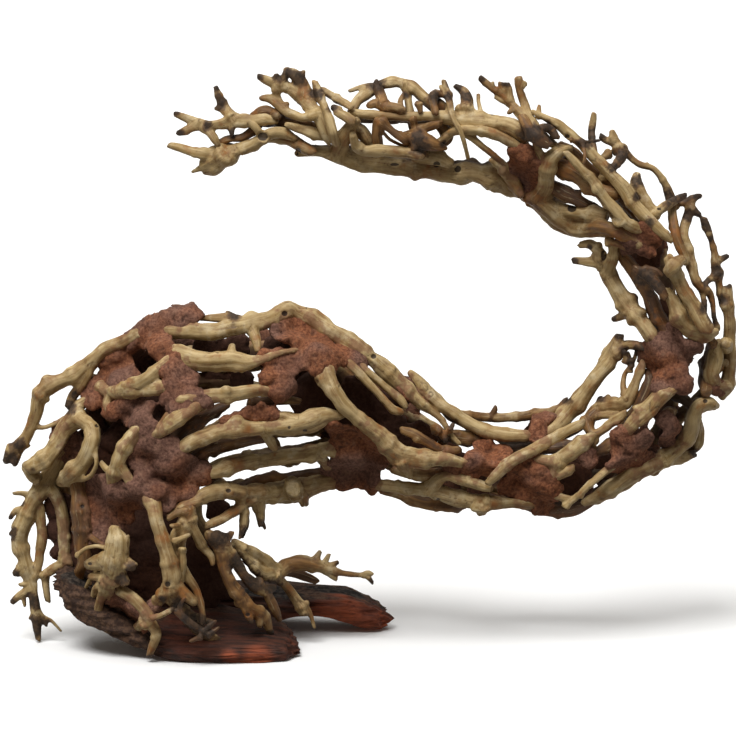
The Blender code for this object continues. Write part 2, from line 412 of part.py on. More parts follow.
# Slabs: (across, front depth, back depth, underside, front top, back top), in mm, left to right.
SLABS = {
    "front_slab": (
        (-171, -28, 0, 38, 45, 46), (-163, -34, 4, 24, 41, 45), (-150, -40, 6, 16, 32, 42),
        (-134, -44, 7, 6, 21, 34), (-118, -48, 8, 0, 13, 27), (-100, -52, 8, 0, 10, 23),
        (-80, -55, 8, 0, 10, 20), (-60, -53, 5, 0, 10, 17), (-47, -50, -2, 0, 9, 13),
        (-40, -45, -14, 0, 6, 9),
    ),
    "back_slab": (
        (-112, 13, 48, 0, 21, 22), (-90, 13, 57, 0, 23, 23), (-60, 14, 60, 0, 23, 24),
        (-45, 15, 60, 5, 22, 24), (-30, 15, 58, 7, 21, 22), (-15, 16, 54, 4, 20, 21),
        (-4, 18, 50, 0, 17, 18), (6, 20, 44, 0, 12, 13), (12, 25, 37, 3, 8, 8),
    ),
}

# Colours: red, green, blue (linear), roughness.
PALE_ROOT = (0.36, 0.27, 0.14, 0.62)
BROWN_ROOT = (0.16, 0.10, 0.05, 0.68)
PASTE_RED = (0.16, 0.06, 0.035, 0.92)
SLAB_RED = (0.17, 0.045, 0.02, 0.72)
BROWN_NAMES = ("stained_column_root", "dark_edge_root", "dark_column_root", "brown_bridge_root",
               "stump_leg_root", "back_edge_root")


def clear_scene():
    """Remove whatever the file opened with."""
    for thing in list(bpy.data.objects):
        bpy.data.objects.remove(thing, do_unlink=True)


def finish_material(name, colour):
    """A Principled material with one colour and roughness."""
    material = bpy.data.materials.new(name)
    material.use_nodes = True
    shader = material.node_tree.nodes["Principled BSDF"]
    shader.inputs["Base Color"].default_value = (*colour[:3], 1.0)
    shader.inputs["Roughness"].default_value = colour[3]
    shader.inputs["Metallic"].default_value = 0.0
    return material


# ---------------------------------------------------------------- routes

def spine_samples():
    """The middle line as closely spaced points: across, up, half width."""
    nodes = np.array(SPINE, float)
    lengths = np.hypot(*np.diff(nodes[:, :2], axis=0).T)
    place = np.concatenate([[0.0], np.cumsum(lengths)])
    fine = np.linspace(0.0, place[-1], 500)
    return np.stack([np.interp(fine, place, nodes[:, k]) for k in range(3)], axis=1)


def skin_depth(across, up, spine):
    """Depth of the bundle's skin: SKIN_DEPTH R (1 - (d/R)^2), and nothing outside it."""
    away = np.hypot(across[:, None] - spine[None, :, 0], up[:, None] - spine[None, :, 1])
    nearest = away.argmin(axis=1)
    distance = away[np.arange(len(across)), nearest]
    half = spine[nearest, 2]
    return SKIN_DEPTH * half * np.clip(1.0 - (distance / half) ** 2, 0.0, None)


def to_sight(up, y):
    """Depth along the sight line, at right angles to the drawing plane."""
    return y / math.cos(LEAN) - up * math.tan(LEAN)


def from_sight(up, depth):
    """The part's y for a depth along the sight line."""
    return (depth + up * math.tan(LEAN)) * math.cos(LEAN)


def stand(across, up, y):
    """Drawing-plane points as x, y, z of the part, in metres."""
    z = (up - (y - FRONT_EDGE) * math.sin(LEAN)) / math.cos(LEAN)
    return np.stack([across, y + SHIFT_Y, z], axis=1) * MM


def lay_out(spine):
    """Every strand as a dictionary with its points and first depths, before settling."""
    strands = []
    for order, (name, (side, lift, routes)) in enumerate(ROOTS.items()):
        first = len(strands)
        for route in routes:
            table = np.array([tuple(point) + (0.0,) * (4 - len(point)) for point in route], float)
            across, up, radius, forward = table.T
            depth = skin_depth(across, up, spine)
            y = depth + lift if side == "back" else -(depth + lift) - forward
            w = to_sight(up, y)
            parent = None
            if len(strands) > first:
                parent = nearest_on(strands[first:], across[0], up[0])
                run = np.concatenate([[0.0], np.cumsum(np.hypot(np.diff(across), np.diff(up)))])
                w = w + (parent_depth(strands[first + parent[0]], parent) - w[0]) * np.exp(-run / FADE)
                parent = (first + parent[0], parent[1], parent[2])
            strands.append({"name": name, "order": order, "uv": np.stack([across, up], 1),
                            "r": radius, "w": w, "rest": w.copy(), "parent": parent})
    return strands


def nearest_on(family, across, up):
    """Which strand, which segment and where along it lies nearest to a point."""
    best = (1e9, 0, 0, 0.0)
    for index, strand in enumerate(family):
        start = strand["uv"][:-1]
        step = strand["uv"][1:] - start
        along = ((np.array([across, up]) - start) * step).sum(1) / (step ** 2).sum(1)
        along = np.clip(along, 0.0, 1.0)
        away = np.hypot(*(start + step * along[:, None] - (across, up)).T)
        segment = int(away.argmin())
        if away[segment] < best[0]:
            best = (away[segment], index, segment, float(along[segment]))
    return best[1:]


def parent_depth(strand, place):
    """Depth of a strand at a place that nearest_on gave."""
    segment, along = place[1], place[2]
    return strand["w"][segment] * (1 - along) + strand["w"][segment + 1] * along


def sample_weights(strand):
    """A matrix that turns a strand's points into samples every few millimetres."""
    points = strand["uv"]
    run = np.concatenate([[0.0], np.cumsum(np.hypot(*np.diff(points, axis=0).T))])
    fine = np.linspace(0.0, run[-1], max(2, int(run[-1] / SAMPLE) + 1))
    columns = np.eye(len(points))
    return np.stack([np.interp(fine, run, column) for column in columns], axis=1)


def settle(strands):
    """Push crossing strands of different roots apart along the sight line until they touch."""
    weights = [sample_weights(strand) for strand in strands]
    spans = np.cumsum([0] + [len(w) for w in weights])
    uv = np.concatenate([w @ s["uv"] for w, s in zip(weights, strands)])
    radius = np.concatenate([w @ s["r"] for w, s in zip(weights, strands)])
    owner = np.concatenate([np.full(len(w), s["order"]) for w, s in zip(weights, strands)])
    flat = np.hypot(uv[:, None, 0] - uv[None, :, 0], uv[:, None, 1] - uv[None, :, 1])
    reach = radius[:, None] + radius[None, :] + GAP
    one, two = np.nonzero((flat < reach) & (owner[:, None] < owner[None, :]))
    need = np.sqrt(reach[one, two] ** 2 - flat[one, two] ** 2)
    for _ in range(SETTLE_STEPS):
        depth = np.concatenate([w @ s["w"] for w, s in zip(weights, strands)])
        apart = depth[two] - depth[one]
        side = np.where(apart >= 0, 1.0, -1.0)
        short = np.clip(need - np.abs(apart), 0.0, None)
        near = short < DEEP
        push = side * short * near * PUSH
        ahead = np.zeros(len(depth))
        behind = np.zeros(len(depth))
        np.minimum.at(ahead, one, np.minimum(-push, 0.0))
        np.minimum.at(ahead, two, np.minimum(push, 0.0))
        np.maximum.at(behind, one, np.maximum(-push, 0.0))
        np.maximum.at(behind, two, np.maximum(push, 0.0))
        move = ahead + behind
        for index, (strand, weight) in enumerate(zip(strands, weights)):
            part = move[spans[index]:spans[index + 1]]
            shift = weight.T @ part / (weight.sum(0) + 1e-9)
            if len(shift) > 2:
                shift[1:-1] = shift[1:-1] * 0.6 + (shift[:-2] + shift[2:]) * 0.2
            strand["w"] = strand["w"] + shift + (strand["rest"] - strand["w"]) * PULL
            if strand["parent"]:
                strand["w"][0] = parent_depth(strands[strand["parent"][0]], strand["parent"])


# ---------------------------------------------------------------- solids

def sides_for(radius):
    """Thin twigs have fewer sides than thick roots."""
    return 6 if radius > 3.1 else 5 if radius > 1.9 else 4


def tube(points, radii, sides, grow=0.0):
    """A closed tube: a ring at each point, carried along without twist, with flat ends."""
    points = [Vector(p) for p in points]
    if grow:
        points[0] = points[0] + (points[0] - points[1]).normalized() * grow
        points[-1] = points[-1] + (points[-1] - points[-2]).normalized() * grow
    shape = bmesh.new()
    heading = (points[1] - points[0]).normalized()
    normal = heading.orthogonal().normalized()
    rings = []
    for index, (point, radius) in enumerate(zip(points, radii)):
        before = points[max(index - 1, 0)]
        after = points[min(index + 1, len(points) - 1)]
        turned = (after - before).normalized()
        normal.rotate(heading.rotation_difference(turned))
        heading = turned
        other = heading.cross(normal).normalized()
        ring = []
        for corner in range(sides):
            angle = 2 * math.pi * corner / sides
            offset = (normal * math.cos(angle) + other * math.sin(angle)) * (radius + grow)
            ring.append(shape.verts.new(point + offset))
        rings.append(ring)
    for low, high in zip(rings, rings[1:]):
        for corner in range(sides):
            after = (corner + 1) % sides
            shape.faces.new((low[corner], low[after], high[after], high[corner]))
    shape.faces.new(tuple(reversed(rings[0])))
    shape.faces.new(tuple(rings[-1]))
    bmesh.ops.recalc_face_normals(shape, faces=shape.faces)
    mesh = bpy.data.meshes.new("tube")
    shape.to_mesh(mesh)
    shape.free()
    return mesh


def strand_tube(strand, grow=0.0):
    """The tube of one strand; grow widens it for cutting."""
    y = from_sight(strand["uv"][:, 1], strand["w"])
    points = stand(strand["uv"][:, 0], strand["uv"][:, 1], y)
    radii = strand["r"] * MM
    return tube(points, radii, sides_for(strand["r"].max()), grow * MM)


def combine(mesh, other, operation):
    """A Boolean of two meshes with the exact solver, as a new mesh."""
    first = bpy.data.objects.new("first", mesh)
    second = bpy.data.objects.new("second", other)
    for thing in (first, second):
        bpy.context.scene.collection.objects.link(thing)
    cut = first.modifiers.new("cut", "BOOLEAN")
    cut.operation = operation
    cut.solver = "EXACT"
    cut.object = second
    graph = bpy.context.evaluated_depsgraph_get()
    result = bpy.data.meshes.new_from_object(first.evaluated_get(graph))
    for thing in (first, second):
        bpy.data.objects.remove(thing, do_unlink=True)
    return result


def largest_piece(mesh):
    """Keep the largest island; also say whether it is closed and how big it is."""
    shape = bmesh.new()
    shape.from_mesh(mesh)
    bmesh.ops.remove_doubles(shape, verts=shape.verts, dist=2e-6)
    bmesh.ops.dissolve_degenerate(shape, edges=shape.edges, dist=2e-6)
    bmesh.ops.triangulate(shape, faces=shape.faces)
    unseen = set(shape.faces)
    islands = []
    while unseen:
        stack = [unseen.pop()]
        island = list(stack)
        while stack:
            for edge in stack.pop().edges:
                for face in edge.link_faces:
                    if face in unseen:
                        unseen.remove(face)
                        stack.append(face)
                        island.append(face)
        islands.append(island)
    islands.sort(key=lambda island: -volume(island))
    for island in islands[1:]:
        bmesh.ops.delete(shape, geom=island, context="FACES")
    loose = [vert for vert in shape.verts if not vert.link_faces]
    bmesh.ops.delete(shape, geom=loose, context="VERTS")
    closed = all(len(edge.link_faces) == 2 for edge in shape.edges)
    size = volume(shape.faces)
    result = bpy.data.meshes.new("piece")
    shape.to_mesh(result)
    shape.free()
    return result, closed, size


def volume(faces):
    """Volume inside a set of triangles, from the tetrahedra they make with the origin."""
    total = 0.0
    for face in faces:
        corners = [vert.co for vert in face.verts]
        for index in range(1, len(corners) - 1):
            total += corners[0].dot(corners[index].cross(corners[index + 1])) / 6.0
    return total


def reach_box(strand):
    """Sample points and radii of a strand in metres, for testing who is near."""
    y = from_sight(strand["uv"][:, 1], strand["w"])
    points = stand(strand["uv"][:, 0], strand["uv"][:, 1], y)
    weight = sample_weights(strand)
    return weight @ points, weight @ strand["r"] * MM


def touches(one, two, room):
    """Whether two sampled strands come closer than room."""
    gap = np.linalg.norm(one[0][:, None] - two[0][None], axis=2) - one[1][:, None] - two[1][None]
    return gap.min() < room * MM


def cut_free(mesh, cutters):
    """Cut a mesh free of its neighbours; each cutter is a function of the gap."""
    for cutter in cutters:
        for gap in TRIM_GAPS:
            trial, closed, size = largest_piece(combine(mesh, cutter(gap), "DIFFERENCE"))
            if closed and size > 0:
                mesh = trial
                break
    return mesh


def make_roots(strands):
    """Join each root's strands, then cut it free of the roots made before it and of the slabs."""
    reach = [reach_box(strand) for strand in strands]
    meshes = {}
    for name in ROOTS:
        own = [index for index, strand in enumerate(strands) if strand["name"] == name]
        mesh = strand_tube(strands[own[0]])
        for index in own[1:]:
            trial, closed, size = largest_piece(combine(mesh, strand_tube(strands[index]), "UNION"))
            if closed and size > 0:
                mesh = trial
        cutters = []
        for index, strand in enumerate(strands[:own[0]]):
            if any(touches(reach[index], reach[mine], 0.5) for mine in own):
                cutters.append(lambda gap, strand=strand: strand_tube(strand, gap))
        low = min(reach[index][0][:, 2].min() for index in own)
        if low < SLAB_REACH * MM:
            cutters += [lambda gap, rows=rows: slab(rows, gap) for rows in SLABS.values()]
        meshes[name] = cut_free(mesh, cutters)
    return meshes


def slab(rows, grow=0.0):
    """A slab lofted from left to right through five-cornered sections; grow widens it."""
    shape = bmesh.new()
    rings = []
    last = len(rows) - 1
    for index, (across, front, back, under, front_top, back_top) in enumerate(rows):
        x = across - grow * (index == 0) + grow * (index == last)
        front -= grow
        back += grow
        bevel = (back - front) * 0.12
        corners = (
            (front + bevel * 0.5, under - grow), (back - bevel, under - grow),
            (back, (under + back_top) * 0.5), (back - bevel, back_top + grow),
            (front + bevel * 2.0, front_top + (back_top - front_top) * 0.3 + grow),
            (front, (under + front_top) * 0.55),
        )
        rings.append([shape.verts.new(Vector((x, y + SHIFT_Y, z)) * MM) for y, z in corners])
    count = len(rings[0])
    for left, right in zip(rings, rings[1:]):
        for corner in range(count):
            after = (corner + 1) % count
            shape.faces.new((left[corner], right[corner], right[after], left[after]))
    shape.faces.new(rings[0])
    shape.faces.new(tuple(reversed(rings[-1])))
    bmesh.ops.recalc_face_normals(shape, faces=shape.faces)
    bmesh.ops.triangulate(shape, faces=shape.faces)
    mesh = bpy.data.meshes.new("slab")
    shape.to_mesh(mesh)
    shape.free()
    return mesh


def lump(blobs, spine, name):
    """A lump of paste: overlapping uneven balls joined into one."""
    whole = None
    wobble = np.random.default_rng(sum(map(ord, name)))
    for across, up, radius, depth in blobs:
        skin = skin_depth(np.array([across], float), np.array([up], float), spine)[0]
        centre = stand(np.array([across]), np.array([up]), np.array([depth * skin]))[0]
        shape = bmesh.new()
        bmesh.ops.create_icosphere(shape, subdivisions=2, radius=radius * MM)
        for vert in shape.verts:
            vert.co = Vector(centre) + vert.co * (1.0 + 0.12 * wobble.uniform(-1, 1))
        mesh = bpy.data.meshes.new("blob")
        shape.to_mesh(mesh)
        shape.free()
        whole = mesh if whole is None else combine(whole, mesh, "UNION")
    return largest_piece(whole)[0]


def make_paste(strands, spine):
    """Each lump joined from its balls and cut free of the roots and slabs it holds."""
    reach = [reach_box(strand) for strand in strands]
    meshes = {}
    for name, blobs in PASTE.items():
        mesh = lump(blobs, spine, name)
        corners = np.array([vert.co[:] for vert in mesh.vertices])
        low = corners.min(0) - 0.001
        high = corners.max(0) + 0.001
        cutters = []
        for index, strand in enumerate(strands):
            points, radii = reach[index]
            inside = np.all((points + radii[:, None] > low) & (points - radii[:, None] < high), 1)
            if inside.any():
                cutters.append(lambda gap, strand=strand: strand_tube(strand, gap))
        cutters += [lambda gap, rows=rows: slab(rows, gap) for rows in SLABS.values()]
        meshes[name] = cut_free(mesh, cutters)
    return meshes


def add_piece(name, mesh, colour, parent):
    """Put a finished solid in the scene under its own name and material."""
    piece = bpy.data.objects.new(name, mesh)
    bpy.context.scene.collection.objects.link(piece)
    piece.parent = parent
    mesh.materials.clear()
    mesh.materials.append(finish_material(name + "_finish", colour))
    for face in mesh.polygons:
        face.use_smooth = True
    mesh.set_sharp_from_angle(angle=SHARP)
    return piece


def main():
    """Build the slabs, the roots and the paste."""
    clear_scene()
    whole = bpy.data.objects.new("dry_root", None)
    bpy.context.scene.collection.objects.link(whole)
    spine = spine_samples()
    strands = lay_out(spine)
    settle(strands)
    for name, rows in SLABS.items():
        add_piece(name, slab(rows), SLAB_RED, whole)
    for name, mesh in make_roots(strands).items():
        add_piece(name, mesh, BROWN_ROOT if name in BROWN_NAMES else PALE_ROOT, whole)
    for name, mesh in make_paste(strands, spine).items():
        add_piece(name, mesh, PASTE_RED, whole)


main()
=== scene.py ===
"""Dry root: the looks of an S-shaped piece of driftwood glued up from azalea roots.

Every root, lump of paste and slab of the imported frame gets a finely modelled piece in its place,
and thinner twigs and stubs are added. Routes are drawn on a plane that leans back by LEAN, as
(across, up, radius) in millimetres, with an optional fourth number that brings a point forward,
and settle into depth as the frame's roots did. A piece is made of sleeves, which are outlines
carried along these routes, fused into one skin, which then gets its grain, knots and cracks.
"""

import json
import math

import bpy
import numpy as np
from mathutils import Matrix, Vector

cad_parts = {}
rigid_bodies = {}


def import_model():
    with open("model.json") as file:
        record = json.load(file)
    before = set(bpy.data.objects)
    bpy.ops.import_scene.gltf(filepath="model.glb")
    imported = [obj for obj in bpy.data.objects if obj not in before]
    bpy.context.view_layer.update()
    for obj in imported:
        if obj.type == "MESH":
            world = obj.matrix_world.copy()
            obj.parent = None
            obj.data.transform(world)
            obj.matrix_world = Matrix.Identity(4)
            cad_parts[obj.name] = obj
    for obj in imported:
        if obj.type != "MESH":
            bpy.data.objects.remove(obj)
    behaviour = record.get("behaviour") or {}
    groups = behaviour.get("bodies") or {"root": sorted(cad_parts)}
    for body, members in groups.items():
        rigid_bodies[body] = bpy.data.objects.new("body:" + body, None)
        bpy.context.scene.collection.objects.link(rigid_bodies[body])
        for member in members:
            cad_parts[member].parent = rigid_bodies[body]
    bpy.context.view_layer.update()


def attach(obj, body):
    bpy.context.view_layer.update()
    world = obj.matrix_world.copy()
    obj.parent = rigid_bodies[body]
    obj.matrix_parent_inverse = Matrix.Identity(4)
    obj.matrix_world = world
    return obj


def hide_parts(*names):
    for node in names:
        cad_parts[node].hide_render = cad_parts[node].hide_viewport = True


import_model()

BODY = "root"

MM = 0.001
TINY = 1e-9                    # keeps a division by a length or a weight of 0 harmless
LEAN = math.radians(12.0)      # how far the drawing plane leans back
FRONT_EDGE = -55.0             # depth of the drawing plane's lowest edge, mm
SHIFT_Y = 2.0                  # moves the whole part so that its box is centred, mm
SIGHT = np.array([0.0, math.cos(LEAN), -math.sin(LEAN)])    # square to the drawing plane

# How the strands lie and settle.
SPINE_SAMPLES = 500            # points of the bundle's middle line
SKIN_DEPTH = 0.78              # depth of the bundle over its width
GAP = 0.30                     # space left between two roots that touch, mm
CLOSENESS = 0.94               # loose roots may press into their neighbours a little
SETTLE_ROUNDS = 90             # rounds of pushing crossing roots apart
LOOSE_ROUNDS = 70              # and of pushing the loose roots clear
PUSH = 0.3                     # share of an overlap that one round takes away on each side
PULL = 0.01                    # share of the way back to its drawn depth, each round
EVEN = 0.2                     # share of a shift that a point takes from each neighbour
DEEP = 9.0                     # overlaps deeper than this are forks, and stay, mm
FADE = 25.0                    # length over which a side root leaves its parent's depth, mm
SAMPLE = 3.0                   # spacing of the points at which strands are compared, mm
DRIFT = 0.6                    # how far a hidden root moves down, over its shift sideways

# How a root is shaped.
STEP = 0.8                     # spacing of the rings along a route, mm
ROUNDING = 1.8                 # how far the corners of a route are rounded, mm
CORNERS = 18                   # corners of a ring
FINE = 0.74                    # size of the skin's facets, mm
TWIG_FINE = 0.6                # and on pieces with thin twigs, mm
THIN = 1.25                    # radius below which a twig counts as thin, mm
ROOT_ROUNDS = 4                # rounds of smoothing a root's skin
SLANT = SIGHT + np.array([0.15, 0.0, 0.0])    # what the rings are turned by; no root runs along it
JOINT_SPACING = 20.0           # mean distance between swellings along a root, mm
SWELLING = (0.06, 0.24)        # least and greatest height of these, over the radius
KNOT_SPACING = 22.0            # mean distance between knots, mm
KNOT_SIZE = (0.35, 0.7)        # their least and greatest size, over the root's radius
DENT = 0.55                    # depth of the dent in half of them, over their size
SWAYS = (13.0, 11.0, 8.0, 3.6)    # lengths of the sways forward and aside, and of the radius, mm
# Grain of the bark: scale across, across and along the root, and height in mm.
FIBRES = (((0.42, 0.42, 0.05), 0.30), ((1.3, 1.3, 0.14), 0.07))
COLLAR = 0.5                   # how much a side root swells where it leaves its parent
SLIMMER = 0.955                # sleeves over their drawn radius: fusing and bark add the rest
TAPER = 0.15                   # how much a root shrinks at a free end
WOBBLE = 0.11                  # share of its radius by which a root's line sways
UNEVEN = 0.07                  # share by which its radius wanders
FLAT = 0.09                    # share by which its section is flattened
FLUTE = 0.09                   # share by which its section is out of round
CAPS = ((0.95, 0.13), (0.82, 0.27), (0.55, 0.38), (0.24, 0.43))    # rings that close a sleeve
CUT = 0.9                      # steepest slope of a cut end
FLOOR_GAP = 0.4                # nothing of the roots or the paste is lower, mm
LATTICE = 32                   # cells after which the wandering numbers repeat
BLOCK = 8192                   # vertices compared with the samples at a time
BROWN = 0.55                   # roots browner than this take the brown wood's finish

# How the paste lies between the roots.
MAP_LOW = np.array([-215, -5])    # lowest place on the maps of the drawing plane
MAP_SHAPE = (430, 345)         # cells of the maps
MAP_REACH = 7                  # cells over which a sample's round outline may spread
MAP_COARSE = 5                 # cells that share one value of the bundle's skin
CREST = 3.0                    # height over which the weight of a crest grows threefold, mm
LEVEL = 3.2                    # blur of the crests' level, mm
NEAR_SKIN = 12.0               # surfaces further than this from the skin are inner roots, mm
PASTE_FINE = 1.0               # size of the paste's facets, mm
PASTE_ROUNDS = 24              # rounds of smoothing it
PASTE_THICK = 6.0              # thickness of the thinnest pad, mm
PASTE_LUMPS = ((0.10, 0.5), (0.27, 0.3))    # scale and height of its unevenness, mm
PAD_TURN = 32                  # points round a pad
PAD_RINGS = 22                 # rings from the middle of its outer face to that of its inner face
CORE = 2.0                     # depth of the pads inside the bundle, mm
END_REACH = 3.0                # ends nearer to a lump of paste than this are buried in it, mm
END_EXTRA = 1.8                # how much wider than the root a pad on its end is, mm
SINK = 2.2                     # depth of a buried end under the level of the crests, mm
DEEPEST = 22.0                 # ends that would have to dive deeper stay, mm
DIVE = 9.0                     # length over which a root dives, besides its drop, mm
OPEN_ENDS = ((-13, 137), (-126, 182))      # ends that stay bare all the same
SPREAD = 0.9                   # how much further than its table says a pad reaches, mm
RECESS = 0.9                   # how far a pad's rim lies behind the crests of the roots, mm
DOME = 0.25                    # how far pads bulge out
DUST_FADE = 7.0                # length over which dust fades out from the paste, mm
DUST_DEPTH = 6                 # how much deeper than its reach a pad sheds dust, mm
CHAR_SEED = 5                  # the charred and the dusted places are ragged alike on every piece
DUST_SEED = 6

# How the slabs are shaped.
SLAB_FINE = 0.8                # spacing of a slab's rings, mm
SLAB_TURN = 180                # points round a slab
SLAB_LAYER = 4.2               # thickness of the layers that it splits into, mm
# Its grain: scale along, across and up the slab, and height in mm.
SLAB_GRAIN = (((0.035, 0.30, 0.42), 1.5), ((0.10, 0.9, 1.3), 0.5))
# Its outline round a section: share of the depth from front to back, share of the height.
SLAB_OUTLINE = ((0.04, 0.05), (0.50, 0.0), (0.90, 0.03), (1.0, 0.5), (0.93, 0.97), (0.55, 1.02),
                (0.10, 0.98), (0.0, 0.55))
# Its charred places: across, depth, reach.
SLAB_CHAR = {
    "front_slab": ((-104, -42, 15), (-118, -38, 12), (-92, -46, 9), (-160, -20, 9)),
    "back_slab": ((-55, 30, 14), (-20, 40, 12)),
}
SLAB_WORN = {"front_slab": -108.0, "back_slab": -70.0}    # left of this a slab is weathered
SLAB_TOP = {"front_slab": 0.55, "back_slab": 0.8}    # how far its upper face is weathered
# Where a slab's red wood lies bare and bright: across, depth, reach.
SLAB_BRIGHT = {
    "front_slab": ((-60, -54, 9), (-76, -56, 6)),
    "back_slab": ((-6, 16, 20), (8, 22, 14), (-24, 13, 10)),
}

# Middle line of the bundle: across, up, half width, in mm.
SPINE = (
    (-98, 13, 60), (-109, 57, 60), (-112, 106, 58), (-98, 139, 55), (-65, 150, 52), (-21, 145, 42),
    (17, 123, 33), (61, 103, 30), (105, 103, 28), (144, 123, 28), (168, 156, 29), (171, 189, 28),
    (155, 227, 26), (127, 260, 24), (94, 282, 23), (56, 290, 22), (17, 293, 20), (-21, 296, 17),
    (-60, 293, 14), (-93, 285, 12),
)

